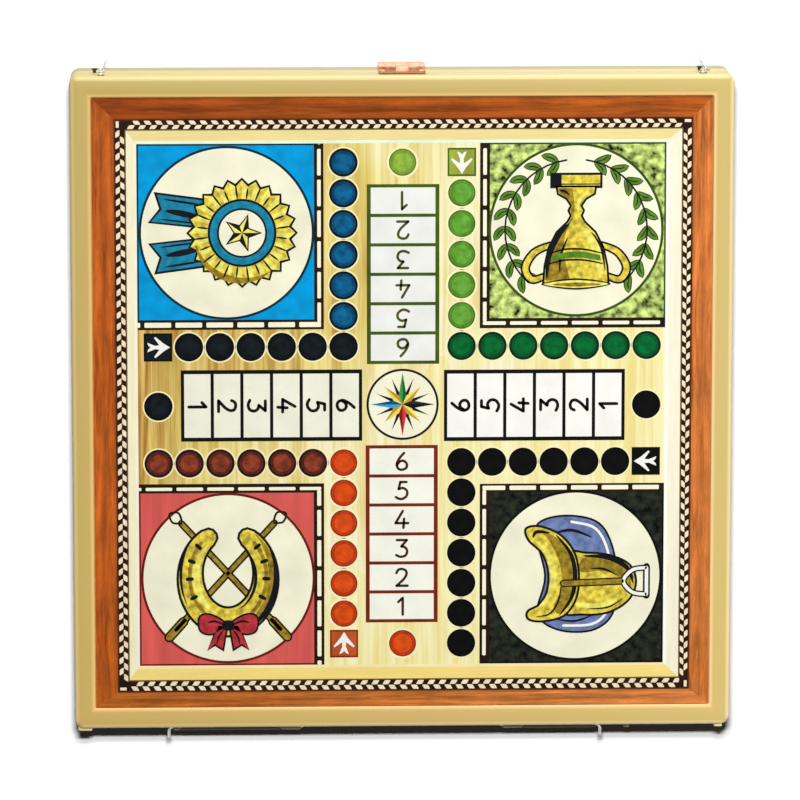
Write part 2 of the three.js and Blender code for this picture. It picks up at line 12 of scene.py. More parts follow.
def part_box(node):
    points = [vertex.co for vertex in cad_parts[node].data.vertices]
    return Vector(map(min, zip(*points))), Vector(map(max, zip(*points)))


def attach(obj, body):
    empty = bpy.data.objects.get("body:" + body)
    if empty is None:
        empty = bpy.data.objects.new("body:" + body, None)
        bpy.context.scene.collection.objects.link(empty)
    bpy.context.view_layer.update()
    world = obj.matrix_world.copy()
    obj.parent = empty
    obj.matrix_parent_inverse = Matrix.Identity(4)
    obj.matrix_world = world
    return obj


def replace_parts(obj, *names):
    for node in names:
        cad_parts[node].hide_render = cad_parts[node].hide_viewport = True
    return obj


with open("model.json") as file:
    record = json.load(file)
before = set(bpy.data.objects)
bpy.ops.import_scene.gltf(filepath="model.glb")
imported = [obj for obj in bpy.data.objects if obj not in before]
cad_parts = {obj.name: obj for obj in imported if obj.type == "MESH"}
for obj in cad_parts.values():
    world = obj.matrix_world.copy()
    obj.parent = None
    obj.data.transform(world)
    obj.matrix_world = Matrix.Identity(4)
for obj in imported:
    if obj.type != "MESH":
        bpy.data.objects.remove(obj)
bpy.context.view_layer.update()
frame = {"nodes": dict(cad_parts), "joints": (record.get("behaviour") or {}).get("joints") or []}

MM = 0.001


def box_of(node):
    low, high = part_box(node)
    return low / MM, high / MM


# Places and sizes read from the frame
lid_low, lid_high = box_of("lid_shell")
board_low, board_high = box_of("lid_game_board")
under_low = box_of("base_game_board")[0]
hinge = next(joint for joint in frame["joints"] if joint["name"] == "lid_hinge")
case_y = (board_low.y + board_high.y) / 2
half_side = (lid_high.x - lid_low.x) / 2
board_half = (board_high.x - board_low.x) / 2
case_height = lid_high.z
hinge_y = hinge["pos_m"][1] / MM - case_y
hinge_z = hinge["pos_m"][2] / MM

# Sizes of the trays, as in the CAD
corner_radius = 5
inner_corner = 1.8
edge_radius = 2.2
wall = 3.2
parting_gap = 0.3
seat_gap = 0.3
lip_radius = 0.9
board_corner = 1
recess_depth = 2.2
floor_depth = 4.6
tongue_width = 1.2
tongue_height = 1.3
rim_round = 0.35
floor_fillet = 1.4
inner_half = half_side - wall

WORLD = Matrix.Scale(MM, 4)
CASE = Matrix.Translation((0, case_y * MM, 0)) @ WORLD
LID_FACE = Matrix.Translation((0, case_y * MM, board_high.z * MM)) @ WORLD
HALF_TURN = Matrix.Rotation(math.pi, 4, "Y")
BASE_FACE = Matrix.Translation((0, case_y * MM, under_low.z * MM)) @ HALF_TURN @ WORLD


# Shader helpers
def linear(colour):
    """An sRGB colour of 0 to 255 as the linear colour that shaders take."""
    shares = [value / 255 for value in colour]
    return (*[s / 12.92 if s <= 0.04045 else ((s + 0.055) / 1.055) ** 2.4 for s in shares], 1)


def shade(colour, factor):
    """An sRGB colour made lighter or darker."""
    return tuple(min(255, value * factor) for value in colour)


def feed(tree, socket, value):
    """Gives an input a value, or links another node's output to it."""
    if isinstance(value, bpy.types.NodeSocket):
        tree.links.new(value, socket)
    else:
        socket.default_value = value


def add_node(tree, kind, settings=None, **inputs):
    node = tree.nodes.new(kind)
    for name, value in (settings or {}).items():
        setattr(node, name, value)
    for name, value in inputs.items():
        feed(tree, node.inputs[name.replace("_", " ")], value)
    return node


def maths(tree, operation, *values):
    """The result of one sum on numbers or outputs."""
    node = add_node(tree, "ShaderNodeMath", {"operation": operation})
    for socket, value in zip(node.inputs, values):
        feed(tree, socket, value)
    return node.outputs[0]


def object_axes(tree):
    """The X, Y and Z of a point in metres."""
    place = add_node(tree, "ShaderNodeTexCoord").outputs["Object"]
    return add_node(tree, "ShaderNodeSeparateXYZ", Vector=place).outputs


def new_material(name, roughness, specular=0.5, metallic=0.0):
    material = bpy.data.materials.new(name)
    material.use_nodes = True
    shader = material.node_tree.nodes["Principled BSDF"]
    shader.inputs["Roughness"].default_value = roughness
    shader.inputs["Specular IOR Level"].default_value = specular
    shader.inputs["Metallic"].default_value = metallic
    return material, material.node_tree, shader


def noise(tree, per_metre, stretch=(1, 1, 1), detail=3.0, roughness=0.5, distortion=0.0):
    """A noise in object coordinates with so many lumps to the metre along each axis."""
    place = add_node(tree, "ShaderNodeTexCoord").outputs["Object"]
    scale = tuple(per_metre * share for share in stretch)
    mapped = add_node(tree, "ShaderNodeMapping", Vector=place, Scale=scale).outputs["Vector"]
    texture = add_node(tree, "ShaderNodeTexNoise", Vector=mapped, Scale=1.0, Detail=detail,
                       Roughness=roughness, Distortion=distortion)
    return texture.outputs[0]


def ramp(tree, factor, stops):
    node = add_node(tree, "ShaderNodeValToRGB", Fac=factor)
    elements = node.color_ramp.elements
    elements[0].position, elements[0].color = stops[0]
    elements[1].position, elements[1].color = stops[-1]
    for position, colour in stops[1:-1]:
        elements.new(position).color = colour
    return node.outputs["Color"]


def mixed(tree, factor, first, second, blend="MIX"):
    """Two colours mixed by a factor that is a number or a socket."""
    node = add_node(tree, "ShaderNodeMix", {"data_type": "RGBA", "blend_type": blend})
    for index, value in ((0, factor), (6, first), (7, second)):
        feed(tree, node.inputs[index], value)
    return node.outputs[2]


def multiplied(tree, first, second, factor=1.0):
    return mixed(tree, factor, first, second, "MULTIPLY")


def set_bump(tree, shader, height, strength, distance=0.00005):
    node = add_node(tree, "ShaderNodeBump", Height=height, Strength=strength, Distance=distance)
    feed(tree, shader.inputs["Normal"], node.outputs["Normal"])


def spread(tree, factor, low, high):
    """A factor of 0 to 1 moved to another range."""
    node = add_node(tree, "ShaderNodeMapRange", Value=factor, To_Min=low, To_Max=high)
    return node.outputs["Result"]


def set_looks(tree, shader, colour, sheen, low, high):
    """Gives a shader its colour, and a roughness between two values over a texture."""
    feed(tree, shader.inputs["Base Color"], colour)
    feed(tree, shader.inputs["Roughness"], spread(tree, sheen, low, high))


def square_distance(tree):
    """How far a point is from the case's middle as a square grows, in mm, and its height in metres."""
    axes = object_axes(tree)
    across = maths(tree, "ABSOLUTE", axes["X"])
    along = maths(tree, "ABSOLUTE", maths(tree, "SUBTRACT", axes["Y"], case_y * MM))
    farther = maths(tree, "MAXIMUM", across, along)
    return maths(tree, "MULTIPLY", farther, 1 / MM), axes["Z"]


def zones(tree, distance, stops):
    """A ramp over distances in millimetres."""
    low, high = stops[0][0], stops[-1][0]
    factor = add_node(tree, "ShaderNodeMapRange", Value=distance, From_Min=low, From_Max=high)
    places = [((place - low) / (high - low), linear(colour)) for place, colour in stops]
    return ramp(tree, factor.outputs["Result"], places)


# Materials
print_specular = 0.035


def ink(name, colour, mottle=0.06, lump=70, streak=(1, 1, 1), roughness=0.5):
    """A printed colour on varnished board, a little uneven."""
    material, tree, shader = new_material(name, roughness, specular=print_specular)
    broad = noise(tree, lump, streak, detail=4.0)
    dark, light = linear(shade(colour, 1 - mottle)), linear(shade(colour, 1 + mottle))
    base = ramp(tree, broad, [(0.32, dark), (0.68, light)])
    grain = noise(tree, 2400, detail=2.0)
    speck = ramp(tree, grain, [(0.3, (0.93, 0.93, 0.93, 1)), (0.7, (1.0, 1.0, 1.0, 1))])
    set_looks(tree, shader, multiplied(tree, base, speck), broad, roughness - 0.06, roughness + 0.06)
    set_bump(tree, shader, grain, 0.06, 0.00004)
    return material


def wood(name, dark, light, along, bands=90, contrast=0.5, roughness=0.42):
    """Printed or veneered wood with its grain along X or Y."""
    material, tree, shader = new_material(name, roughness, specular=print_specular)
    stretch = (0.045, 1, 1) if along == "x" else (1, 0.045, 1)
    figure = noise(tree, bands, stretch, detail=5.0, roughness=0.62, distortion=0.6)
    fibre = noise(tree, bands * 9, stretch, detail=2.0, roughness=0.5)
    patch = noise(tree, 16, (1, 1, 1), detail=2.0)
    middle = tuple((a + b) / 2 for a, b in zip(dark, light))
    base = ramp(tree, figure, [(0.5 - contrast / 2, linear(dark)), (0.5, linear(middle)),
                               (0.5 + contrast / 2, linear(light))])
    lines = ramp(tree, fibre, [(0.34, (0.86, 0.84, 0.8, 1)), (0.6, (1.0, 1.0, 1.0, 1))])
    grained = multiplied(tree, base, lines, 0.8)
    tone = ramp(tree, patch, [(0.35, (0.93, 0.92, 0.9, 1)), (0.65, (1.0, 1.0, 1.0, 1))])
    set_looks(tree, shader, multiplied(tree, grained, tone), figure, roughness - 0.07, roughness + 0.07)
    set_bump(tree, shader, fibre, 0.08)
    return material


def moulded(name, colour, roughness, mottle=0.03, specular=0.45, texture=900):
    """Moulded plastic: faint clouding in the colour and a fine satin texture."""
    material, tree, shader = new_material(name, roughness, specular)
    cloud = noise(tree, 14, detail=4.0, roughness=0.55)
    dark, light = linear(shade(colour, 1 - mottle)), linear(shade(colour, 1 + mottle))
    base = ramp(tree, cloud, [(0.3, dark), (0.7, light)])
    fine = noise(tree, texture, detail=2.0)
    set_looks(tree, shader, base, fine, roughness - 0.06, roughness + 0.06)
    set_bump(tree, shader, fine, 0.12)
    return material


def metal(name, colour, roughness, scratch=(1, 1, 1), lump=500, metallic=1.0):
    material, tree, shader = new_material(name, roughness, metallic=metallic)
    wear = noise(tree, lump, scratch, detail=4.0, roughness=0.6)
    dark, light = linear(shade(colour, 0.86)), linear(shade(colour, 1.08))
    base = ramp(tree, wear, [(0.35, dark), (0.65, light)])
    set_looks(tree, shader, base, wear, roughness - 0.08, roughness + 0.1)
    set_bump(tree, shader, wear, 0.1)
    return material


def tinted_along(tree, base, axis, mean, stops):
    """A base colour tinted along X or Y, so that its mean becomes the colour given for each place."""
    along = object_axes(tree)[axis]
    low, high = stops[0][0], stops[-1][0]
    share = add_node(tree, "ShaderNodeMapRange", Value=along, From_Min=low * MM, From_Max=high * MM)
    tints = []
    for at, colour in stops:
        tint = [value / whole for value, whole in zip(linear(colour), linear(mean))]
        tints.append(((at - low) / (high - low), tint))
    return multiplied(tree, base, ramp(tree, share.outputs["Result"], tints))


# The lid's tan along X and along Y: painted light, lighter towards +X and towards -Y
tan_middle = (199, 172, 102)
tan_light_across = [(-165, (194, 167, 92)), (0, tan_middle), (165, (206, 181, 109))]
tan_light_along = [(-165, (209, 179, 107)), (0, tan_middle), (165, (191, 166, 92))]


def tray_plastic(name, tan, foot_shade_tint):
    """Tan plastic: painted highlights on the lip round the board and on the outer edges, painted shade at the
    foot.
    """
    material, tree, shader = new_material(name, 0.42, specular=0.42)
    distance, height = square_distance(tree)
    # Painted highlights: the tan turns lighter on the lip round the board and on the rounded outer edge, as
    # if lit there
    edge_highlight = (240, 216, 162)
    lip = (236, 192, 127)
    base = zones(tree, distance, [(150, tan), (158.4, tan), (159.0, lip), (160.2, lip), (161.4, tan),
                                  (167.4, tan), (169.0, edge_highlight), (172, edge_highlight)])
    cloud = noise(tree, 22, (1, 1, 1), detail=5.0, roughness=0.6)
    tint = ramp(tree, cloud, [(0.3, (0.96, 1.0, 0.9, 1)), (0.7, (1.0, 0.955, 0.98, 1))])
    # Painted light: the tan made lighter towards +X and towards -Y
    across = tinted_along(tree, base, "X", tan, tan_light_across)
    sided = tinted_along(tree, across, "Y", tan, tan_light_along)
    toned = multiplied(tree, sided, tint)
    edge = noise(tree, 260, detail=3.0)
    # Painted shade: below about 13 to 20 mm the walls darken by the foot tint, with a ragged edge
    raised = add_node(tree, "ShaderNodeMapRange", Value=height, From_Min=0.013, From_Max=0.02)
    foot_shade_mask = maths(tree, "MULTIPLY_ADD", edge, 0.3, raised.outputs["Result"])
    foot = ramp(tree, foot_shade_mask, [(0.2, (*foot_shade_tint, 1)), (1.0, (1, 1, 1, 1))])
    fine = noise(tree, 900, detail=2.0)
    set_looks(tree, shader, multiplied(tree, toned, foot), fine, 0.36, 0.5)
    set_bump(tree, shader, fine, 0.12)
    return material


tan_plastic = tray_plastic("tan_plastic", tan_middle, (1, 1, 1))
# The base tray's foot tint is painted shade, darker towards the bottom of its walls
base_plastic = tray_plastic("base_plastic", tan_middle, (0.56, 0.62, 0.66))
# Painted shade: the base's knuckles are dark brown to stand for the shade under the lid's edge
knuckle_shade_plastic = moulded("knuckle_shade_plastic", (62, 44, 22), 0.6, mottle=0.2)
divider_plastic = moulded("divider_plastic", (190, 160, 94), 0.55, mottle=0.05)
steel = metal("steel_wire", (205, 203, 196), 0.3)
screw_metal = metal("screw_metal", (52, 47, 40), 0.5)
screw_bright = metal("screw_bright", (196, 186, 166), 0.45)
copper = metal("copper_sheet", (226, 172, 142), 0.6, metallic=0.5)
# Painted shade: the keeper plate is a darker copper, standing for the shadow line under the hasp
keeper_shade_copper = metal("copper_keeper_shaded", (160, 112, 72), 0.6, metallic=0.5)
light_wood = wood("light_draughtsmen", (206, 170, 112), (236, 208, 156), "y", bands=140)
dark_wood = wood("dark_draughtsmen", (30, 20, 15), (62, 42, 32), "y", bands=140)
cup_leather = moulded("cup_leather", (52, 40, 34), 0.6, mottle=0.12, texture=420)
die_ivory = moulded("die_ivory", (243, 238, 222), 0.3, mottle=0.015)
die_pip = ink("die_pip", (20, 20, 22))
board_edge = wood("board_edge", (120, 86, 52), (150, 112, 72), "x", bands=60)
pawn_colours = {
    "blue": (22, 103, 176),
    "green": (63, 143, 58),
    "red": (194, 47, 44),
    "black": (30, 30, 32),
}


# Mesh helpers
class Shape:
    """Vertices and faces gathered for one piece."""

    def __init__(self):
        self.vertices = []
        self.faces = []

    def add(self, vertices, faces):
        start = len(self.vertices)
        self.vertices.extend(vertices)
        self.faces.extend(tuple(start + i for i in face) for face in faces)

    def moved(self, matrix):
        self.vertices = [tuple(matrix @ Vector(v)) for v in self.vertices]
        return self


def finish_mesh(mesh, sharp_degrees):
    """Outward normals and smooth shading that breaks at edges sharper than the given angle."""
    shaped = bmesh.new()
    shaped.from_mesh(mesh)
    bmesh.ops.recalc_face_normals(shaped, faces=shaped.faces)
    limit = math.radians(sharp_degrees)
    for face in shaped.faces:
        face.smooth = True
    for edge in shaped.edges:
        if len(edge.link_faces) != 2 or edge.calc_face_angle() > limit:
            edge.smooth = False
    shaped.to_mesh(mesh)
    shaped.free()


def mesh_object(name, shape, material, matrix, sharp_degrees):
    mesh = bpy.data.meshes.new(name)
    mesh.from_pydata([matrix @ Vector(v) for v in shape.vertices], [], shape.faces)
    finish_mesh(mesh, sharp_degrees)
    mesh.materials.append(material)
    made = bpy.data.objects.new(name, mesh)
    bpy.context.scene.collection.objects.link(made)
    return made


def add_piece(name, shape, body, material, matrix=CASE):
    piece = mesh_object(name, shape, material, matrix, 32)
    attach(piece, body)
    return piece


def loft(shape, loops, closed=False):
    """Equal loops joined by quads, with a flat face at each end unless the loops close on themselves."""
    count = len(loops[0])
    vertices = [point for loop in loops for point in loop]
    faces = []
    pairs = len(loops) if closed else len(loops) - 1
    for level in range(pairs):
        low, high = level * count, (level + 1) % len(loops) * count
        for i in range(count):
            j = (i + 1) % count
            faces.append((low + i, low + j, high + j, high + i))
    if not closed:
        faces.append(tuple(reversed(range(count))))
        faces.append(tuple(range((len(loops) - 1) * count, len(loops) * count)))
    shape.add(vertices, faces)


def prism(shape, outline, low, high):
    loft(shape, [[(x, y, low) for x, y in outline], [(x, y, high) for x, y in outline]])


def band(shape, outer, inner, low, high):
    """A flat ring between two outlines of equal count."""
    loops = [(outer, low), (outer, high), (inner, high), (inner, low)]
    loft(shape, [[(x, y, z) for x, y in outline] for outline, z in loops], closed=True)


def turned(shape, profile, sides, matrix=Matrix.Identity(4)):
    """A profile of [radius, height] turned round Z; it starts and ends on the axis."""
    start = tuple(matrix @ Vector((0, 0, profile[0][1])))
    end = tuple(matrix @ Vector((0, 0, profile[-1][1])))
    loops = []
    for radius, height in profile[1:-1]:
        loops.append([tuple(matrix @ Vector((x, y, height))) for x, y in circle(0, 0, radius, sides)])
    vertices = [start, end] + [point for loop in loops for point in loop]
    faces = []
    last = 2 + (len(loops) - 1) * sides
    for i in range(sides):
        j = (i + 1) % sides
        faces.append((0, 2 + j, 2 + i))
        faces.append((1, last + i, last + j))
        for level in range(len(loops) - 1):
            low = 2 + level * sides
            faces.append((low + i, low + j, low + sides + j, low + sides + i))
    shape.add(vertices, faces)


def smooth_path(points, steps, closed=False):
    """Points on a Catmull-Rom curve through the given points."""
    count = len(points)
    ring = [Vector(p) for p in points]
    spans = count if closed else count - 1
    made = []
    for i in range(spans):
        if closed:
            a, b, c, d = (ring[(i + k) % count] for k in (-1, 0, 1, 2))
        else:
            a, b, c, d = (ring[min(max(i + k, 0), count - 1)] for k in (-1, 0, 1, 2))
        for step in range(steps):
            t = step / steps
            made.append(((2 * b) + (c - a) * t + (2 * a - 5 * b + 4 * c - d) * t ** 2
                         + (3 * b - a - 3 * c + d) * t ** 3) / 2)
    if not closed:
        made.append(ring[-1])
    return made


def tube(shape, points, radius, sides=12):
    """A round wire along a path, its ends slightly rounded."""
    path = [Vector(p) for p in points]
    tangents = []
    for i in range(len(path)):
        tangents.append((path[min(i + 1, len(path) - 1)] - path[max(i - 1, 0)]).normalized())
    across = tangents[0].orthogonal().normalized()
    loops = []
    for i, (point, tangent) in enumerate(zip(path, tangents)):
        across = (across - tangent * across.dot(tangent)).normalized()
        other = tangent.cross(across)
        section = [(radius, 0)]
        if i == 0:
            section = [(radius * 0.6, 0), (radius * 0.92, radius * 0.22), (radius, radius * 0.6)]
        elif i == len(path) - 1:
            section = [(radius, -radius * 0.6), (radius * 0.92, -radius * 0.22), (radius * 0.6, 0)]
        for size, along in section:
            loops.append([tuple(point + tangent * along + (across * x + other * y) * size)
                          for x, y in circle(0, 0, 1, sides)])
    loft(shape, loops)


def ribbon(shape, points, widths, low, high):
    """A flat stroke of varying width with round ends."""
    path = [Vector((x, y)) for x, y in points]
    last = len(path) - 1
    if not isinstance(widths, (list, tuple)):
        widths = [widths] * len(path)
    sections = []
    for i, point in enumerate(path):
        tangent = (path[min(i + 1, last)] - path[max(i - 1, 0)]).normalized()
        side = Vector((-tangent.y, tangent.x))
        half = widths[i] / 2
        caps = [(0, 1)]
        if i == 0:
            caps = [(-0.97, 0.26), (-0.71, 0.71), (0, 1)]
        elif i == last:
            caps = [(0, 1), (0.71, 0.71), (0.97, 0.26)]
        for along, share in caps:
            middle = point + tangent * along * half
            sections.append((middle - side * half * share, middle + side * half * share))
    loops = []
    for right, left in sections:
        loops.append([(right.x, right.y, low), (left.x, left.y, low),
                      (left.x, left.y, high), (right.x, right.y, high)])
    loft(shape, loops)


def soft_box(low, high, radius, segments=3):
    """A box with rounded edges."""
    low, high = Vector(low), Vector(high)
    middle = Matrix.Translation((low + high) / 2)
    size = high - low
    made = bmesh.new()
    bmesh.ops.create_cube(made, size=1, matrix=middle @ Matrix.Diagonal((*size, 1)))
    bmesh.ops.bevel(made, geom=made.edges[:], offset=radius, segments=segments, affect="EDGES",
                    profile=0.5)
    made.verts.index_update()
    shape = Shape()
    shape.add([tuple(v.co) for v in made.verts], [tuple(v.index for v in f.verts) for f in made.faces])
    made.free()
    return shape


def merged(*shapes):
    whole = Shape()
    for shape in shapes:
        whole.add(shape.vertices, shape.faces)
    return whole


# Outlines
def quarter_angles(steps):
    return [step / steps * math.pi / 2 for step in range(steps + 1)]


def circle(x, y, radius, sides=48):
    angles = [2 * math.pi * i / sides for i in range(sides)]
    return [(x + radius * math.cos(a), y + radius * math.sin(a)) for a in angles]


def rectangle(x_low, y_low, x_high, y_high):
    return [(x_low, y_low), (x_high, y_low), (x_high, y_high), (x_low, y_high)]


def turned_points(points, quarters, x=0, y=0):
    """Points turned by so many quarter turns anticlockwise and then moved."""
    made = []
    for px, py in points:
        for _ in range(quarters % 4):
            px, py = -py, px
        made.append((px + x, py + y))
    return made


def rounded_rectangle(x_low, y_low, x_high, y_high, radius, steps=3):
    outline = []
    corners = [(x_high, y_high, 0), (x_low, y_high, 1), (x_low, y_low, 2), (x_high, y_low, 3)]
    for x, y, turn in corners:
        centre_x = x - radius if x == x_high else x + radius
        centre_y = y - radius if y == y_high else y + radius
        for step in range(steps + 1):
            angle = (turn + step / steps) * math.pi / 2
            outline.append((centre_x + radius * math.cos(angle), centre_y + radius * math.sin(angle)))
    return outline


def rounded_square(half, radius, height, steps=10):
    return [(x, y, height) for x, y in rounded_rectangle(-half, -half, half, half, radius, steps)]


# Trays
def tray_shape(rim, rim_levels, edge_steps=7):
    """A tray, outer face at height 0 and rim upwards. Levels are (half width, height, corner radius)."""
    recess_half = board_half + seat_gap
    levels = [(recess_half, recess_depth, board_corner), (recess_half, lip_radius, board_corner)]
    angles = quarter_angles(edge_steps)
    for angle in angles[1:]:
        out = lip_radius * (1 - math.cos(angle))
        levels.append((recess_half + out, lip_radius * (1 - math.sin(angle)), board_corner + out))
    for angle in angles:
        inset = edge_radius * (1 - math.sin(angle))
        levels.append((half_side - inset, edge_radius * (1 - math.cos(angle)), corner_radius - inset))
    levels.append((half_side, rim - rim_round, corner_radius))
    levels.append((half_side - rim_round * 0.3, rim - rim_round * 0.3, corner_radius))
    levels.append((half_side - rim_round, rim, corner_radius))
    levels.extend(rim_levels)
    for angle in angles[:-1]:
        out = floor_fillet * (1 - math.cos(angle))
        height = floor_depth + floor_fillet * (1 - math.sin(angle))
        levels.append((inner_half - out, height, inner_corner))
    levels.append((inner_half - floor_fillet, floor_depth, inner_corner))
    shape = Shape()
    loft(shape, [rounded_square(half, radius, height) for half, height, radius in levels])
    return shape


def base_tray():
    rim = hinge_z - parting_gap / 2
    half, top, corner = inner_half + tongue_width, rim + tongue_height, inner_corner + tongue_width
    soft = rim_round * 0.6
    shape = tray_shape(rim, [
        (half, rim, corner),
        (half, top - soft, corner),
        (half - soft, top, corner),
        (inner_half + soft, top, inner_corner),
        (inner_half, top - soft, inner_corner),
    ])
    piece = add_piece("base_tray", shape, "base", base_plastic)
    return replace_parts(piece, "base_shell")


def lid_tray():
    rim = case_height - hinge_z - parting_gap / 2
    groove = tongue_width + seat_gap
    half, floor = inner_half + groove, rim - tongue_height - parting_gap - seat_gap
    soft = rim_round * 0.6
    shape = tray_shape(rim, [
        (half + soft, rim, inner_corner + groove),
        (half, rim - soft, inner_corner + groove),
        (half, floor, inner_corner + groove),
        (inner_half + soft, floor, inner_corner),
        (inner_half, floor - soft, inner_corner),
    ])
    shape.moved(Matrix.Translation((0, 0, case_height)) @ HALF_TURN)
    piece = add_piece("lid_tray", shape, "lid", tan_plastic)
    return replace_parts(piece, "lid_shell")


# Hinge knuckles, as [low x, high x] along the hinge line
knuckle_radius = 1.9
knuckle_bore = 1.15
knuckle_web = 7
knuckle_chamfer = 0.35
lid_knuckles = {"left_inner": (-63.0, -52.8), "left_outer": (-118.8, -115.8),
                "right_inner": (52.8, 63.0), "right_outer": (115.8, 118.8)}
base_knuckles = {"left": (-115.5, -63.3), "right": (63.3, 100.9)}


def knuckle_shape(side, x_low, x_high):
    """A barrel round the hinge line with a web to the wall, above the parting plane or below it."""
    wall_y = -hinge_y - half_side + wall / 2
    near = parting_gap / 2
    start = math.asin(near / knuckle_radius)
    outline = [(wall_y, near), (wall_y, knuckle_web - 1), (wall_y - 0.6, knuckle_web - 0.8)]
    turns = 30
    for i in range(turns + 1):
        angle = math.pi / 2 + (1.5 * math.pi + start) * i / turns
        outline.append((knuckle_radius * math.cos(angle), knuckle_radius * math.sin(angle)))
    reaches = [math.hypot(y, z) for y, z in outline]
    shape = Shape()
    loops = []
    sections = [(x_low, knuckle_chamfer), (x_low + knuckle_chamfer, 0),
                (x_high - knuckle_chamfer, 0), (x_high, knuckle_chamfer)]
    rings = [(x, [1 - shrink / reach for reach in reaches]) for x, shrink in sections]
    rings += [(x, [knuckle_bore / reach for reach in reaches]) for x in (x_high, x_low)]
    for x, shares in rings:
        loops.append([(x, hinge_y + y * share, hinge_z + side * z * share)
                      for (y, z), share in zip(outline, shares)])
    loft(shape, loops, closed=True)
    return shape


def add_knuckles():
    for name, (low, high) in lid_knuckles.items():
        add_piece(f"lid_knuckle_{name}", knuckle_shape(1, low, high), "lid", tan_plastic)
    for name, (low, high) in base_knuckles.items():
        # The base's knuckles take the dark plastic, painted shade
        add_piece(f"base_knuckle_{name}", knuckle_shape(-1, low, high), "base", knuckle_shade_plastic)


# Corner pads on the hinge side, as [low x, high x] on the lid; those of the base stand further in
lid_pads = {"left": (-168.4, -161.0), "right": (162.2, 166.6)}
base_pad_shifts = {"left": 6, "right": -6}
pad_reach = 2
pad_height = 7
pad_rise = 3.5


def add_pads():
    for side, body, plastic in ((1, "lid", tan_plastic), (-1, "base", base_plastic)):
        for hand_name, (low, high) in lid_pads.items():
            shift = 0 if side > 0 else base_pad_shifts[hand_name]
            heights = sorted((hinge_z + side * pad_rise, hinge_z + side * (pad_rise + pad_height)))
            shape = soft_box((low + shift, -half_side - pad_reach, heights[0]),
                             (high + shift, -half_side + wall / 2, heights[1]), 0.8)
            add_piece(f"{body}_pad_{hand_name}", shape, body, plastic)


# Wire hinge pins
pin_radius = 0.8
pin_bend = 2.2
pin_reach = 8


def hinge_pin(side, start, tail):
    hand = 1 if tail > start else -1
    tip = -half_side - pin_reach
    straight = [(start + (tail - hand * pin_bend - start) * i / 6, hinge_y, hinge_z) for i in range(7)]
    bend = []
    for angle in quarter_angles(8)[1:]:
        bend.append((tail - hand * pin_bend * (1 - math.sin(angle)),
                     hinge_y - pin_bend * (1 - math.cos(angle)), hinge_z))
    shape = Shape()
    tube(shape, straight + bend + [(tail, tip, hinge_z)], pin_radius)
    piece = add_piece(f"hinge_wire_{side}", shape, f"hinge_pin_{side}", steel)
    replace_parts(piece, f"hinge_pin_{side}")


# Wire hooks: the route has the same points as in the CAD
wire_radius = 0.5
hook_pivot_z = 36
hook_length = 12
latch_swing = 16
hook_standoff = 0.3
hook_reach = 6.2
hook_clearance = 0.3
tail_drop = 0.6
finger_end = 0.8
pivot_shank = 0.8
catch_shank = 0.8
screw_head_radius = 1.6
# Each hook's pivot, how many degrees from straight down it hangs, and how far its finger leans
hook_forms = {"left": (-153.9, 0, 2.8), "right": (153.9, -12, -3.3)}
eye_degrees = [255, 225, 180, 135, 90, 45, 0]
claw_degrees = [45, 0, -45, -100]


def hook_points(pivot_x, hang, lean):
    eye = pivot_shank + hook_clearance + wire_radius
    claw = catch_shank + hook_clearance + wire_radius
    face = half_side + hook_standoff + wire_radius
    tip = half_side + hook_reach - 0.03
    across, along = math.cos(math.radians(hang)), math.sin(math.radians(hang))
    points = []

    def place(x, z, y=face, side=0):
        points.append((pivot_x + x * across + z * along + side, y, hook_pivot_z + z * across - x * along))

    for degrees in eye_degrees:
        place(eye * math.cos(math.radians(degrees)), eye * math.sin(math.radians(degrees)))
    arm_low = hook_length - claw - eye
    place(eye / 2, -eye * 2)
    place(-claw / 2, -(eye * 2 + arm_low) / 2)
    place(-claw / 4, -arm_low)
    for degrees in claw_degrees:
        place(claw * math.cos(math.radians(degrees)), -hook_length + claw * math.sin(math.radians(degrees)))
    tail_z = -hook_length - claw - tail_drop
    place(-claw / 5, tail_z, face + tail_drop)
    place(-claw / 5, tail_z - tail_drop, (face + tip) / 2, lean / 2)
    place(-claw / 5, tail_z - tail_drop, tip - finger_end, lean)
    place(-claw / 5, tail_z - tail_drop, tip, lean)
    return points


def catch_place(pivot_x, hang):
    """The catch lies at the end of its hook's swing."""
    angle = math.radians(hang + latch_swing)
    return pivot_x - hook_length * math.sin(angle), hook_pivot_z - hook_length * math.cos(angle)


def add_hook(side):
    shape = Shape()
    tube(shape, smooth_path(hook_points(*hook_forms[side]), 6), wire_radius)
    piece = add_piece(f"hook_wire_{side}", shape, f"hook_{side}", steel)
    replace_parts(piece, f"hook_{side}")


# Screws and rivets stand out of the clasp-side wall
TOWARDS_CLASP = Matrix.Rotation(-math.pi / 2, 4, "X")
screw_depth = 2.4
screw_head = 0.7


def cut(piece, cutter):
    """Takes the cutter's form out of the piece and removes the cutter."""
    modifier = piece.modifiers.new("cut", "BOOLEAN")
    modifier.object = cutter
    modifier.operation = "DIFFERENCE"
    modifier.solver = "EXACT"
    apply_modifiers(piece)
    bpy.data.objects.remove(cutter)


def apply_modifiers(piece):
    bpy.context.view_layer.update()
    evaluated = piece.evaluated_get(bpy.context.evaluated_depsgraph_get())
    mesh = bpy.data.meshes.new_from_object(evaluated)
    piece.modifiers.clear()
    piece.data = mesh


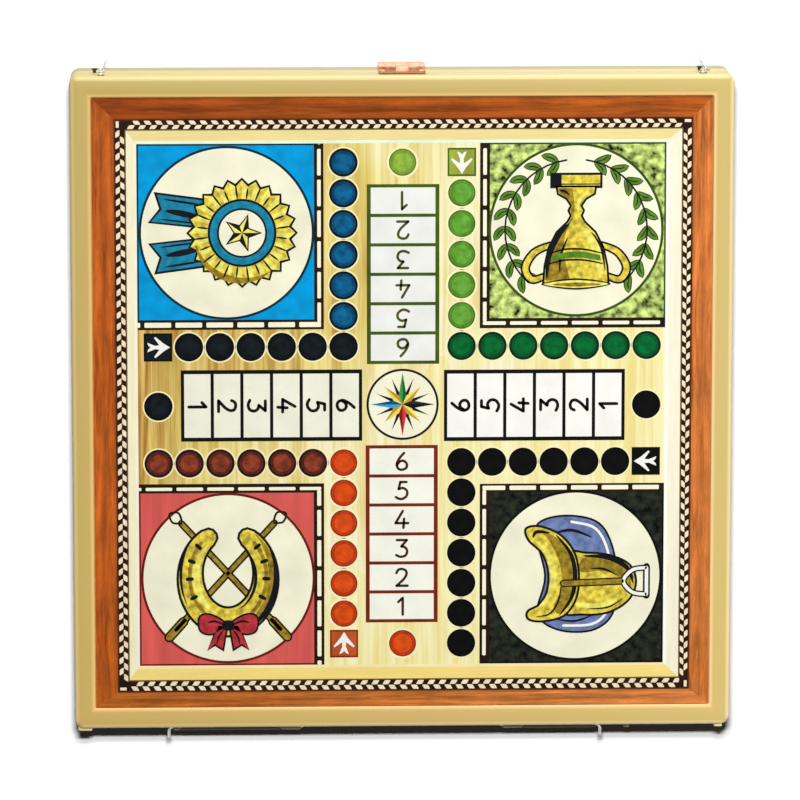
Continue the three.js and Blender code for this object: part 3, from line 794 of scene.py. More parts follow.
def slotted_screw(node, body, x, z, shank, head, slot_degrees, metal_finish):
    neck = hook_standoff + 2 * wire_radius + hook_clearance
    profile = [(0, -screw_depth), (shank, -screw_depth), (shank, neck), (head * 0.94, neck),
               (head, neck + 0.12), (head, neck + screw_head * 0.45)]
    for angle in quarter_angles(6)[1:]:
        profile.append((head * math.cos(angle), neck + screw_head * (0.45 + 0.53 * math.sin(angle))))
    profile[-1] = (head * 0.12, neck + screw_head * 0.98)
    profile.append((0, neck + screw_head))
    shape = Shape()
    turned(shape, profile, 36, TOWARDS_CLASP)
    shape.moved(Matrix.Translation((x, half_side, z)))
    piece = add_piece(f"{node}_head", shape, body, metal_finish)
    slot = soft_box((-head * 1.3, -0.22, -0.35), (head * 1.3, 0.22, 1), 0.02, 1)
    place = Matrix.Translation((x, half_side + neck + screw_head, z)) @ TOWARDS_CLASP
    slot.moved(place @ Matrix.Rotation(math.radians(slot_degrees), 4, "Z"))
    cut(piece, mesh_object("cutter", slot, metal_finish, CASE, 30))
    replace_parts(piece, node)


rivet_x = 9.8
plate_rivet_z = 14.4
keeper_rivet_z = 33.4
rivet_shank = 0.8
rivet_head = 1.4
rivet_rise = 0.6
sheet_low = seat_gap
sheet_high = 1.3


def domed_rivet(node, body, x, z):
    neck = sheet_high + 0.05
    profile = [(0, -screw_depth), (rivet_shank, -screw_depth), (rivet_shank, neck), (rivet_head, neck)]
    for angle in quarter_angles(6)[:-1]:
        profile.append((rivet_head * math.cos(angle), neck + 0.08 + (rivet_rise - 0.08) * math.sin(angle)))
    profile.append((0, neck + rivet_rise))
    shape = Shape()
    turned(shape, profile, 28, TOWARDS_CLASP)
    shape.moved(Matrix.Translation((x, half_side, z)))
    piece = add_piece(f"{node}_head", shape, body, copper)
    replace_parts(piece, node)


# Clasp
clasp_half = 12
clasp_axis_z = 24.2
clasp_axis_out = 2.9
barrel_radius = 1.7
barrel_half = 9.2
clasp_bore = 1.05
clasp_pin_radius = 0.7
plate_low_z = 12.2
plate_high_z = 22.2
hasp_back = 2.4
hasp_face = 3.4
hasp_low_z = 9.2
hasp_shoulder_z = 20.2
hasp_lip_depth = 1.4
window_half = 4
window_low_z = 12.2
window_high_z = 16.2
keeper_low_z = 30.4
keeper_high_z = 36.4
nub_half = 3.4
nub_low_z = 32.8
nub_high_z = 35.6
nub_reach = 4.2


def barrel(x_low, x_high):
    """A rolled sheet barrel with its bore, along X on the clasp's axis."""
    shape = Shape()
    soft = 0.18
    profile = [(x_low, clasp_bore), (x_low, barrel_radius - soft), (x_low + soft, barrel_radius),
               (x_high - soft, barrel_radius), (x_high, barrel_radius - soft), (x_high, clasp_bore)]
    axis_y = half_side + clasp_axis_out
    loops = [[(x, y, z) for y, z in circle(axis_y, clasp_axis_z, radius, 32)] for x, radius in profile]
    loft(shape, loops, closed=True)
    return shape


def wall_box(x_low, x_high, out_low, out_high, z_low, z_high, radius=0.22):
    return soft_box((x_low, half_side + out_low, z_low), (x_high, half_side + out_high, z_high), radius)


def pierced_plate(outer, inner, out_low, out_high, chamfer):
    """A plate in the plane of the wall with a window, its edges broken."""
    def grown(outline, amount):
        middle_x = sum(x for x, _ in outline) / len(outline)
        middle_z = sum(z for _, z in outline) / len(outline)
        wide = max(x for x, _ in outline) - middle_x
        tall = max(z for _, z in outline) - middle_z
        across, up = 1 + amount / wide, 1 + amount / tall
        return [(middle_x + (x - middle_x) * across, middle_z + (z - middle_z) * up) for x, z in outline]

    levels = [(outer, -chamfer, out_low), (outer, 0, out_low + chamfer), (outer, 0, out_high - chamfer),
              (outer, -chamfer, out_high), (inner, chamfer, out_high), (inner, 0, out_high - chamfer),
              (inner, 0, out_low + chamfer), (inner, chamfer, out_low)]
    shape = Shape()
    loft(shape, [[(x, half_side + out, z) for x, z in grown(outline, amount)]
                 for outline, amount, out in levels], closed=True)
    return shape


def add_clasp():
    near, far = barrel_half + seat_gap, clasp_half
    ears = []
    for low, high in ((-far, -near), (near, far)):
        ears.append(barrel(low, high))
        ears.append(wall_box(low, high, sheet_low, sheet_high, plate_high_z - 0.6, clasp_axis_z - 0.3, 0.2))
    plate = merged(wall_box(-clasp_half, clasp_half, sheet_low, sheet_high, plate_low_z, plate_high_z), *ears)
    piece = add_piece("clasp_back_plate", plate, "base", copper)
    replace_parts(piece, "clasp_plate")

    outer = rounded_rectangle(-clasp_half, hasp_low_z, clasp_half, hasp_shoulder_z, 1.2, 5)
    inner = rounded_rectangle(-window_half, window_low_z, window_half, window_high_z, 0.7, 5)
    leaf = pierced_plate(outer, inner, hasp_back, hasp_face, 0.2)
    neck = wall_box(-barrel_half, barrel_half, hasp_back, hasp_face, hasp_shoulder_z - 1, clasp_axis_z, 0.2)
    lip = wall_box(-clasp_half + 1.2, clasp_half - 1.2, hasp_back - hasp_lip_depth, hasp_face,
                   hasp_low_z, hasp_low_z + 1, 0.3)
    piece = add_piece("clasp_leaf", merged(leaf, neck, lip, barrel(-barrel_half, barrel_half)), "hasp",
                      copper)
    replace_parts(piece, "clasp_hasp")

    keeper = wall_box(-clasp_half, clasp_half, sheet_low, sheet_high, keeper_low_z, keeper_high_z)
    # The keeper takes the darker copper, painted shade
    piece = add_piece("clasp_catch", keeper, "lid", keeper_shade_copper)
    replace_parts(piece, "clasp_keeper")
    nub = wall_box(-nub_half, nub_half, sheet_high - 0.2, nub_reach, nub_low_z, nub_high_z, 0.4)
    add_piece("clasp_nub", nub, "lid", copper)

    pin = Shape()
    place = Vector((0, half_side + clasp_axis_out, clasp_axis_z))
    ends = [place + Vector((x, 0, 0)) for x in (-clasp_half, 0, clasp_half)]
    tube(pin, ends, clasp_pin_radius, 16)
    piece = add_piece("clasp_wire", pin, "base", steel)
    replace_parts(piece, "clasp_pin")
    for side, x in (("left", -rivet_x), ("right", rivet_x)):
        domed_rivet(f"clasp_plate_rivet_{side}", "base", x, plate_rivet_z)
        domed_rivet(f"keeper_rivet_{side}", "lid", x, keeper_rivet_z)


# Print: each ink lies on the board as flat forms, one level above what it is printed over
level_step = 0.029
sides = ("clasp", "left", "hinge", "right")
# Distances of the border's lines from the middle on each side, in the order of the sides
board_edges = (board_half,) * 4
rope_high = (147.5, 146.8, 150.25, 148.15)
rope_low = (142.75, 141.9, 145.0, 143.7)
margin_low = (135.25, 136.0, 136.85, 135.1)
keyline_width = 0.75
halo_width = 1.6
rope_line_width = 0.6
# Places of the rope's lozenges along each side, outer and inner row
rope_periods = (5.71, 5.84, 5.8, 5.835)
rope_outer_starts = (1.26, 0.4, -0.6, -0.87)
rope_inner_starts = (-1.6, -2.9, 2.5, 1.9)
rope_slant = 1.3
rope_share = 0.53
rope_gap = 0.24
rope_corner = (1.5, 3.3)
track_line = 30.32
track_pitch = 15.88
track_end = track_line + 6 * track_pitch
track_drop = 0.2

black = ink("ink_black", (20, 20, 24), mottle=0.3)
dash_cream = ink("ink_dash", (250, 245, 215), mottle=0.02)
rope_black = ink("ink_rope_black", (38, 22, 14), mottle=0.25)
rope_cream = ink("ink_rope_cream", (248, 226, 192), mottle=0.05, lump=200)
white = ink("ink_white", (246, 245, 236), mottle=0.012)
cream = ink("ink_cream", (243, 240, 212), mottle=0.03, lump=50)
halo = ink("ink_halo", (247, 240, 190), mottle=0.03)
keyline = ink("ink_keyline", (84, 44, 24), mottle=0.2)
fence_black = ink("ink_fence", (34, 22, 14), mottle=0.25)
rope_line = ink("ink_rope_line", (112, 88, 46), mottle=0.15)


class Face:
    """One printed board: where its forms go and what they ride on."""

    def __init__(self, name, body, matrix):
        self.name = name
        self.body = body
        self.matrix = matrix

    def add(self, name, shape, material):
        return add_piece(f"{self.name}_{name}", shape, self.body, material, self.matrix)


def printed(face, name, material, level, outlines=(), strokes=()):
    """One piece of ink: outlines are filled, strokes are (points, widths)."""
    shape = Shape()
    for outline in outlines:
        prism(shape, outline, 0, level * level_step)
    for points, widths in strokes:
        ribbon(shape, points, widths, 0, level * level_step)
    return face.add(name, shape, material)


def widened(edges, amount):
    return tuple(edge + amount for edge in edges)


def side_strip(low, high, quarters):
    """A mitred strip along one side between two rectangles, given by their distances from the middle."""
    ahead, behind = (quarters - 1) % 4, (quarters + 1) % 4
    points = [(-high[behind], high[quarters]), (-low[behind], low[quarters]),
              (low[ahead], low[quarters]), (high[ahead], high[quarters])]
    return turned_points(points, quarters)


def edges_rectangle(edges):
    top, left, bottom, right = edges
    return rectangle(-left, -bottom, right, top)


# Mahogany: one tone for each side, partly the print's own and partly painted light, lighter on the right and
# hinge sides.
# Painted highlights and shade vary across the border from the inside outwards, as on a raised moulding, and
# along the clasp side and the hinge side painted light leans it from a deeper tone to a paler one towards +X.
mahogany_tones = {"clasp": (151, 74, 18), "left": (174, 88, 29), "hinge": (184, 110, 48),
                  "right": (189, 111, 52)}
moulding_light = [(0, 0.94), (0.2, 1.07), (0.55, 0.93), (0.8, 1.09), (1, 1.0)]
mahogany_light_lean = ((0.92, 0.86, 0.7), (1.1, 1.14, 1.35))
lean_reach = 150
# Veneer between the rope and the stables: one tone for each side
margin_tones = {"clasp": (233, 216, 149), "left": (243, 237, 200), "hinge": (242, 218, 129),
                "right": (241, 237, 212)}
halo_tones = {"clasp": (232, 244, 214), "left": (248, 242, 218), "hinge": (250, 232, 174),
              "right": (252, 251, 240)}


def leaned(colour, factors):
    return tuple(value * factor for value, factor in zip(colour, factors))


def mahogany_base(tree, tone, low, leans):
    """A side's tone with painted highlights and shade across the border and, where it leans, painted light
    along X.
    """
    distance = square_distance(tree)[0]
    across = [(low + share * (board_half - low), shade(tone, factor)) for share, factor in moulding_light]
    base = zones(tree, distance, across)
    if not leans:
        return base
    deep, pale = mahogany_light_lean
    stops = [(-lean_reach, leaned(tone, deep)), (0, tone), (lean_reach, leaned(tone, pale))]
    return tinted_along(tree, base, "X", tone, stops)


def border_wood(name, tone, axis, strength, specular, low=None):
    """Polished wood with its grain along a side; a given low edge makes it mahogany from there outwards."""
    material, tree, shader = new_material(name, 0.42, specular=specular)
    base = linear(tone) if low is None else mahogany_base(tree, tone, low, axis == "X")
    stretch = (0.06, 1, 1) if axis == "X" else (1, 0.06, 1)
    patches = (0.35, 1, 1) if axis == "X" else (1, 0.35, 1)
    figure = noise(tree, 420, stretch, detail=6.0, roughness=0.7, distortion=0.8)
    streaks = ramp(tree, figure, [(0.34, (0.5, 0.42, 0.34, 1)), (0.48, (0.94, 0.92, 0.9, 1)),
                                  (0.66, (1.34, 1.36, 1.44, 1))])
    blotch = noise(tree, 150, patches, detail=4.0, roughness=0.6)
    red = ramp(tree, blotch, [(0.36, (0.82, 0.8, 0.84, 1)), (0.62, (1.22, 1.12, 1.12, 1))])
    grained = multiplied(tree, base, streaks, strength)
    set_looks(tree, shader, multiplied(tree, grained, red, strength), figure, 0.36, 0.5)
    set_bump(tree, shader, figure, 0.08, 0.00006)
    return material


def add_border(face):
    mahogany_low = widened(rope_high, keyline_width)
    halo_high = widened(margin_low, halo_width)
    for quarters, side in enumerate(sides):
        axis = "XY"[quarters % 2]
        frame_wood = border_wood(f"{face.name}_mahogany_{side}", mahogany_tones[side], axis, 0.9,
                                 print_specular * 1.5, mahogany_low[quarters])
        printed(face, f"mahogany_{side}", frame_wood, 1, [side_strip(mahogany_low, board_edges, quarters)])
        margin_wood = border_wood(f"{face.name}_margin_{side}", margin_tones[side], axis, 0.12,
                                  print_specular)
        printed(face, f"margin_{side}", margin_wood, 1, [side_strip(margin_low, rope_low, quarters)])
        pale = ink(f"{face.name}_halo_{side}", halo_tones[side], mottle=0.02)
        printed(face, f"halo_{side}", pale, 2, [side_strip(margin_low, halo_high, quarters)])
    printed(face, "keyline", keyline, 2, [side_strip(rope_high, mahogany_low, q) for q in range(4)])
    printed(face, "rope_line", rope_line, 2,
            [side_strip(widened(rope_low, -rope_line_width), widened(rope_low, 0.05), q) for q in range(4)])
    printed(face, "rope_ground", rope_black, 2, [side_strip(rope_low, rope_high, q) for q in range(4)])
    printed(face, "rope_lozenges", rope_cream, 3, rope_lozenges())


def lozenge(x, low, high, width, slant):
    """A slanting lozenge with its corners cut off, centred on x between two heights."""
    cut = 0.35
    half = width / 2
    tall = high - low
    points = [(-half + cut, 0), (half - cut, 0), (half, cut), (half, tall - cut), (half - cut, tall),
              (-half + cut, tall), (-half, tall - cut), (-half, cut)]
    return [(x + px + slant * (py / tall - 0.5), low + py) for px, py in points]


def rope_lozenges():
    """Two rows of slanting lozenges along each side, half a period apart, and a bar at each corner."""
    made = []
    for quarters in range(4):
        low, high = rope_low[quarters], rope_high[quarters]
        end, start = rope_low[(quarters - 1) % 4], -rope_low[(quarters + 1) % 4]
        middle = (low + high) / 2
        period = rope_periods[quarters]
        rows = ((rope_outer_starts[quarters], middle + rope_gap / 2, high - rope_gap, -rope_slant),
                (rope_inner_starts[quarters], low + rope_gap, middle - rope_gap / 2, rope_slant))
        for first, row_low, row_high, slant in rows:
            count = int(end / period) + 2
            for i in range(-count, count + 1):
                x = first + i * period
                if not start + 0.8 < x < end - 0.8:
                    continue
                points = lozenge(x, row_low, row_high, period * rope_share, slant)
                inside = [(min(max(px, start), end), py) for px, py in points]
                made.append(turned_points(inside, quarters))
        width, length = rope_corner
        corner_x = -rope_high[(quarters + 1) % 4] + rope_gap * 2
        corner_y = high - rope_gap * 2
        bar = rectangle(corner_x, corner_y - length, corner_x + width, corner_y)
        made.append(turned_points(bar, quarters))
    return made


# The race game's field
stable_places = {"blue": (-1, 1), "green": (1, 1), "red": (-1, -1), "black": (1, -1)}
stable_middles = {"blue": (-90.2, 89.3), "green": (89.0, 90.05), "red": (-90.2, -90.9),
                  "black": (89.35, -90.6)}
# Quarter turns of the picture in each stable
stable_turns = {"red": 0, "black": 1, "green": 2, "blue": 3}
# The fence in front of each stable, across X and across Y: its near edge, its dashes' edges and its far edge
fence_rows = {
    "blue": ((40.45, 41.88, 43.72, 45.36), (39.16, 40.36, 42.95, 44.3)),
    "green": ((39.66, 41.25, 43.14, 44.73), (39.28, 40.99, 42.82, 44.48)),
    "red": ((40.5, 42.0, 44.08, 45.79), (41.28, 43.11, 44.79, 46.1)),
    "black": ((39.86, 41.26, 43.12, 44.9), (42.02, 43.07, 45.33, 46.4)),
}


# The field's tones from its warm end to its pale end, in the grain's dark lines and between them
field_steps = (0.5, 0.75, 1.0, 1.3)
field_warm = ((164, 118, 42), (212, 188, 96), (234, 216, 138), (238, 226, 168))
field_pale = ((228, 198, 114), (241, 228, 148), (245, 240, 188), (247, 243, 214))
# Painted light: how fast the field turns pale to the metre along X and along Y
field_light_x = 3.6
field_light_y = -1.9


def field_wood():
    """Pale veneer, grain along Y; painted light makes it warmer to the left, paler to the right and below."""
    material, tree, shader = new_material("field_veneer", 0.46, specular=print_specular)
    axes = object_axes(tree)
    across = maths(tree, "MULTIPLY_ADD", axes["X"], field_light_x, 0.5)
    light_slope = maths(tree, "MULTIPLY_ADD", axes["Y"], field_light_y, across)
    patch = noise(tree, 24, (1, 0.5, 1), detail=3.0)
    uneven = maths(tree, "MULTIPLY_ADD", patch, 0.9, light_slope)
    warm, pale = (ramp(tree, uneven, [(at, linear(colour)) for at, colour in zip(field_steps, tones)])
                  for tones in (field_warm, field_pale))
    figure = noise(tree, 230, (1, 0.03, 1), detail=5.0, roughness=0.65, distortion=0.7)
    grain = spread(tree, figure, -1.7, 2.7)
    feed(tree, shader.inputs["Base Color"], mixed(tree, grain, warm, pale))
    set_bump(tree, shader, figure, 0.08)
    return material


def add_field(face):
    printed(face, "field", field_wood(), 1, [edges_rectangle(margin_low)])


def mirrored(points, hand_x, hand_y):
    """Points of the corner at +X +Y carried to another corner, in an order that keeps them anticlockwise."""
    made = [(x * hand_x, y * hand_y) for x, y in points]
    return made if hand_x * hand_y > 0 else made[::-1]


fence_post = 2.2
dash_round = 0.5


def stable_outer(name):
    """How far a stable's outer corner lies from the middle, across X and across Y."""
    hand_x, hand_y = stable_places[name]
    top, left, bottom, right = margin_low
    return (right if hand_x > 0 else left), (top if hand_y > 0 else bottom)


def add_fences(face):
    bars, gaps = [], []
    for name, (hand_x, hand_y) in stable_places.items():
        outer_x, outer_y = stable_outer(name)
        (near_x, low_x, high_x, far_x), (near_y, low_y, high_y, far_y) = fence_rows[name]
        shapes = [rectangle(near_x, near_y, outer_x, far_y), rectangle(near_x, far_y, far_x, outer_y)]
        bars.extend(mirrored(points, hand_x, hand_y) for points in shapes)
        start_x, start_y = low_x, high_y
        post = track_line + track_pitch * 1.5 - fence_post / 2
        while start_x < outer_x - 1:
            end_x, end_y = min(post, outer_x), min(post, outer_y)
            dashes = [rounded_rectangle(start_x, low_y, end_x, high_y, dash_round),
                      rounded_rectangle(low_x, start_y, high_x, end_y, dash_round)]
            gaps.extend(mirrored(points, hand_x, hand_y) for points in dashes)
            start_x = start_y = post + fence_post
            post += track_pitch
    printed(face, "fence_bars", fence_black, 2, bars)
    printed(face, "fence_gaps", dash_cream, 3, gaps)


stable_edge = 0.9
circle_radius = 44.95
circle_line = 1.3
stable_grounds = {
    "blue": dict(mottle=0.07, lump=140),
    "green": dict(mottle=0.95, lump=260),
    "red": dict(mottle=0.07, lump=180, streak=(1, 0.06, 1)),
    "black": dict(mottle=0.9, lump=240),
}
stable_inks = {
    "blue": ((2, 151, 213), (8, 46, 60)),
    "green": ((118, 140, 73), (52, 78, 18)),
    "red": ((214, 91, 85), (104, 28, 20)),
    "black": ((24, 27, 21), (10, 10, 10)),
}


def stable_ground(name, colour):
    return ink(f"stable_{name}", colour, **stable_grounds[name])


def add_stables(face):
    for name, (hand_x, hand_y) in stable_places.items():
        colour, line = stable_inks[name]
        outline = ink(f"stable_line_{name}", line, mottle=0.12)
        ground = stable_ground(name, colour)
        outer_x, outer_y = stable_outer(name)
        near_x, near_y = fence_rows[name][0][3], fence_rows[name][1][3]
        whole = rectangle(near_x, near_y, outer_x, outer_y)
        inside = rectangle(near_x, near_y, outer_x - stable_edge, outer_y - stable_edge)
        printed(face, f"stable_{name}_edge", outline, 2, [mirrored(whole, hand_x, hand_y)])
        printed(face, f"stable_{name}_ground", ground, 3, [mirrored(inside, hand_x, hand_y)])
        x, y = stable_middles[name]
        ring = Shape()
        band(ring, circle(x, y, circle_radius, 120), circle(x, y, circle_radius - circle_line, 120), 0,
             4 * level_step)
        face.add(f"stable_{name}_ring", ring, outline)
        printed(face, f"stable_{name}_disc", cream, 4, [circle(x, y, circle_radius - circle_line, 120)])


# The track of discs round the four arms: outline, rim and middle of each colour
disc_radius = 7.35
disc_line = 1.25
disc_rim = 1.5
disc_halo = 0.75
thin_discs = ("lime", "pale_lime", "orange")
thin_inset = 0.35
thin_line = 0.6
# How far the end discs of the two side arms stand below the axis
right_end_drop = 0.7
left_end_drop = 0.5
disc_inks = {
    "blue": ((10, 89, 132), (10, 66, 100), (6, 20, 28), 0.22),
    "lime": ((98, 161, 55), (84, 140, 42), (60, 100, 26), 0.12),
    "pale_lime": ((138, 176, 64), (118, 156, 50), (84, 112, 26), 0.1),
    "green": ((4, 101, 46), (6, 80, 38), (6, 40, 20), 0.14),
    "navy": ((16, 23, 27), (12, 16, 20), (8, 8, 10), 0.4),
    "black": ((8, 8, 9), (7, 7, 8), (5, 5, 6), 0.5),
    "orange": ((214, 76, 22), (186, 56, 18), (136, 40, 14), 0.1),
    "maroon": ((128, 56, 36), (84, 36, 26), (40, 16, 12), 0.22),
}


def track_discs():
    """The colour of every round place, by its place on the board."""
    places = {}
    for i in range(7):
        out = track_line + i * track_pitch
        places[(-track_line, out)] = "blue" if i else "navy"
        places[(out, track_line)] = "green"
        places[(track_line, -out)] = "black"
        places[(-out, -track_line)] = "maroon" if i else "orange"
        if i < 6:
            places[(track_line, out)] = "lime" if i else "green"
            places[(out, -track_line)] = "black"
            places[(-track_line, -out)] = "orange"
            places[(-out, track_line)] = "navy"
    places[(0, track_end)] = "pale_lime"
    places[(track_end, -right_end_drop)] = "black"
    places[(0, -track_end)] = "orange"
    places[(-track_end, -left_end_drop)] = "navy"
    return places


def add_track(face):
    places = track_discs()
    printed(face, "track_halo", halo, 2, [circle(x, y, disc_radius + disc_halo) for x, y in places])
    for colour, (fill, rim, line, mottle) in disc_inks.items():
        spots = [place for place, name in places.items() if name == colour]
        thin = colour in thin_discs
        outer = disc_radius - (thin_inset if thin else 0)
        inner = outer - (thin_line if thin else disc_line)
        inks = ((line, outer, 3), (rim, inner, 4), (fill, inner - disc_rim, 5))
        for (tone, radius, level), part in zip(inks, ("outlines", "rims", "middles")):
            colour_ink = ink(f"disc_{colour}_{part}", tone, mottle=mottle, lump=240)
            discs = [circle(x, y, radius) for x, y in spots]
            printed(face, f"track_{colour}_{part}", colour_ink, level, discs)


# Each colour's start square: its place, and the quarter turns of its arrow
start_squares = {"lime": (track_line, track_end, 2), "black": (track_end, -track_line, 1),
                 "orange": (-track_line, -track_end, 0), "navy": (-track_end, track_line, 3)}
start_half = 7.3
start_line = 0.9
arrow_size = 1.7
start_tones = {"lime": (152, 163, 60), "orange": (186, 85, 40)}


def arrow_outline(size):
    """An arrow pointing up, with thin swept barbs and a flared, notched tail."""
    half = [(0, 0.5), (0.16, 0.24), (0.44, -0.1), (0.4, -0.16), (0.09, 0.06), (0.07, -0.12), (0.2, -0.44),
            (0.08, -0.4), (0, -0.3)]
    left = [(-x, y) for x, y in half[1:-1]][::-1]
    return [(x * size, y * size) for x, y in (half + left)][::-1]


def add_arrows(face):
    arrows = []
    for colour, (x, y, quarters) in start_squares.items():
        fill, _, line, _ = disc_inks[colour]
        fill = start_tones.get(colour, fill)
        inner = start_half - start_line
        for tone, half, level, part in ((line, start_half, 3, "edge"), (fill, inner, 4, "ground")):
            printed(face, f"start_{colour}_{part}", ink(f"start_{colour}_{part}", tone, mottle=0.1), level,
                    [rectangle(x - half, y - half, x + half, y + half)])
        arrows.append(turned_points(arrow_outline(start_half * arrow_size), quarters, x, y))
    printed(face, "start_arrows", white, 5, arrows)


# Ladders of six numbered places
digit_strokes = {
    1: [[(-0.2, 0.76), (0.06, 1.0)], [(0.06, 1.0), (0.06, 0.0)]],
    2: [[(-0.31, 0.76), (-0.2, 0.95), (0.02, 1.0), (0.24, 0.9), (0.28, 0.68), (0.14, 0.42), (-0.1, 0.18),
         (-0.3, 0.0)], [(-0.3, 0.0), (0.34, 0.0)]],
    3: [[(-0.28, 1.0), (0.3, 1.0)], [(0.3, 1.0), (-0.02, 0.62)],
        [(-0.02, 0.62), (0.2, 0.56), (0.32, 0.34), (0.22, 0.08), (-0.06, 0.0), (-0.32, 0.1)]],
    4: [[(0.06, 1.0), (-0.36, 0.28)], [(-0.36, 0.28), (0.38, 0.28)], [(0.14, 0.54), (0.1, 0.0)]],
    5: [[(0.28, 1.0), (-0.08, 1.0)], [(-0.08, 1.0), (-0.18, 0.58)],
        [(-0.18, 0.58), (0.08, 0.64), (0.3, 0.48), (0.3, 0.2), (0.08, 0.01), (-0.14, 0.0), (-0.34, 0.1)]],
    6: [[(0.14, 1.0), (-0.12, 0.7), (-0.29, 0.34), (-0.2, 0.07), (0.03, 0.0), (0.27, 0.12), (0.29, 0.36),
         (0.1, 0.53), (-0.12, 0.48), (-0.27, 0.28)]],
}
ladder_inner = 21.3
ladder_half = 18.6
ladder_line = 1.7
ladder_cell = 15.25
ladder_places = 6
digit_height = 8.8
ladder_inks = {
    "clasp": ((66, 88, 22), (74, 76, 26), 2, 1.35),
    "right": ((14, 13, 12), (16, 15, 14), 1, 1.6),
    "hinge": ((116, 40, 22), (66, 38, 26), 0, 1.35),
    "left": ((14, 13, 12), (16, 15, 14), 3, 1.6),
}


# How far each ladder stands off its axis
ladder_shifts = {"clasp": (0.25, -0.2), "right": (0, -0.7), "hinge": (-0.45, 0), "left": (0.5, -0.25)}
cell_tones = {"clasp": (236, 237, 231), "left": (239, 238, 218), "hinge": (244, 245, 230),
              "right": (248, 246, 238)}


def digit(number, x, y, quarters, width):
    """The strokes of a digit, centred on a place and turned to its reader."""
    strokes = []
    for points in digit_strokes[number]:
        scaled = [(px * digit_height, (py - 0.5) * digit_height) for px, py in points]
        smooth = scaled
        if len(scaled) > 2:
            smooth = [(p.x, p.y) for p in smooth_path([(px, py, 0) for px, py in scaled], 5)]
        strokes.append((turned_points(smooth, quarters, x, y), width))
    return strokes


def add_ladders(face):
    for side, (line, figure, facing, width) in ladder_inks.items():
        quarters = sides.index(side)
        shift = ladder_shifts[side]
        outer = ladder_inner + ladder_places * ladder_cell + ladder_line
        whole = [(-ladder_half, ladder_inner), (ladder_half, ladder_inner), (ladder_half, outer),
                 (-ladder_half, outer)]
        cells, strokes = [], []
        for i in range(ladder_places):
            low = ladder_inner + ladder_line + i * ladder_cell
            high = low + ladder_cell - ladder_line
            edge = ladder_half - ladder_line * 1.2
            cells.append(turned_points(rectangle(-edge, low, edge, high), quarters, *shift))
            (x, y), = turned_points([(0, (low + high) / 2)], quarters, *shift)
            strokes.extend(digit(ladder_places - i, x, y, facing, width))
        frame_ink = ink(f"ladder_line_{side}", line, mottle=0.12)
        figure_ink = ink(f"ladder_figure_{side}", figure, mottle=0.12)
        printed(face, f"ladder_{side}_lines", frame_ink, 2, [turned_points(whole, quarters, *shift)])
        printed(face, f"ladder_{side}_cells", ink(f"ladder_cell_{side}", cell_tones[side], 0.02), 3, cells)
        printed(face, f"ladder_{side}_figures", figure_ink, 4, strokes=strokes)


# The rose in the middle: a sixteen-pointed compass star in the players' colours
rose_radius = 18.6
rose_line = 1.2
rose_tones = [((60, 150, 70), (20, 96, 44)), ((40, 40, 44), (12, 12, 14)), ((214, 64, 52), (140, 24, 30)),
              ((60, 160, 214), (16, 84, 140))]


def star_facets(degrees, length, waist):
    """The two halves of a star's point."""
    angle = math.radians(degrees)
    tip = (length * math.sin(angle), length * math.cos(angle))
    made = []
    for side in (-1, 1):
        lean = angle + side * math.pi / 8
        corner = (waist * math.sin(lean), waist * math.cos(lean))
        made.append([(0, 0), tip, corner] if side < 0 else [(0, 0), corner, tip])
    return made


def add_rose(face):
    printed(face, "rose_line", black, 2, [circle(0, 0, rose_radius, 96)])
    printed(face, "rose_ground", cream, 3, [circle(0, 0, rose_radius - rose_line, 96)])
    needles = []
    for i in range(8):
        needles.extend(star_facets(22.5 + 45 * i, 14.8, 3.0))
    printed(face, "rose_needles", black, 4, needles)
    light, dark = [], []
    for i in range(4):
        left, right = star_facets(45 + 90 * i, 13.2, 5.0)
        light.append(left)
        dark.append(right)
    printed(face, "rose_short_light", ink("rose_yellow", (236, 220, 96), 0.06), 5, light)
    printed(face, "rose_short_dark", ink("rose_ochre", (190, 150, 44), 0.06), 5, dark)
    for i, (bright, deep) in enumerate(rose_tones):
        left, right = star_facets(90 * i, 16.4, 5.2)
        printed(face, f"rose_point_{i}_light", ink(f"rose_light_{i}", bright, 0.08), 6, [left])
        printed(face, f"rose_point_{i}_dark", ink(f"rose_dark_{i}", deep, 0.08), 6, [right])


# Emblems in the four stables: riding tackle and prizes, drawn in ochre with black brush strokes
ochre = ink("emblem_ochre", (212, 190, 68), mottle=0.22, lump=330)
gold = ink("emblem_gold", (240, 224, 108), mottle=0.12, lump=330)
brown = ink("emblem_brown", (146, 122, 36), mottle=0.24, lump=330)
emblem_outline = 1.3
wreath_radius = 36.5


class Emblem:
    """A picture in a stable's circle, turned to its player, in millimetres from the circle's middle."""

    def __init__(self, face, tag, accent):
        self.face = face
        self.tag = f"emblem_{tag}"
        self.quarters = stable_turns[tag]
        self.x, self.y = stable_middles[tag]
        self.accent = ink(f"{self.tag}_accent", accent, mottle=0.14, lump=260)

    def place(self, points):
        return turned_points(points, self.quarters, self.x, self.y)

    def fill(self, name, material, level, outlines):
        return printed(self.face, f"{self.tag}_{name}", material, level, [self.place(o) for o in outlines])

    def draw(self, name, material, level, strokes):
        placed = [(self.place(points), widths) for points, widths in strokes]
        return printed(self.face, f"{self.tag}_{name}", material, level, strokes=placed)


def curve(points, steps=6, closed=False):
    return [(p.x, p.y) for p in smooth_path([(x, y, 0) for x, y in points], steps, closed)]


def brush(points, width, steps=6, start=0.12, end=0.12):
    """A brush stroke along a curve, thin at its ends."""
    path = curve(points, steps)
    last = len(path) - 1
    widths = []
    for i in range(last + 1):
        swell = math.sin(math.pi * i / last) ** 0.75
        ends = start + (end - start) * i / last
        widths.append(width * (ends + (1 - ends) * swell))
    return path, widths


def swelling(ends, swell, steps):
    """Widths along a stroke that swells from its ends to its middle."""
    return [ends + swell * math.sin(math.pi * i / steps) for i in range(steps + 1)]


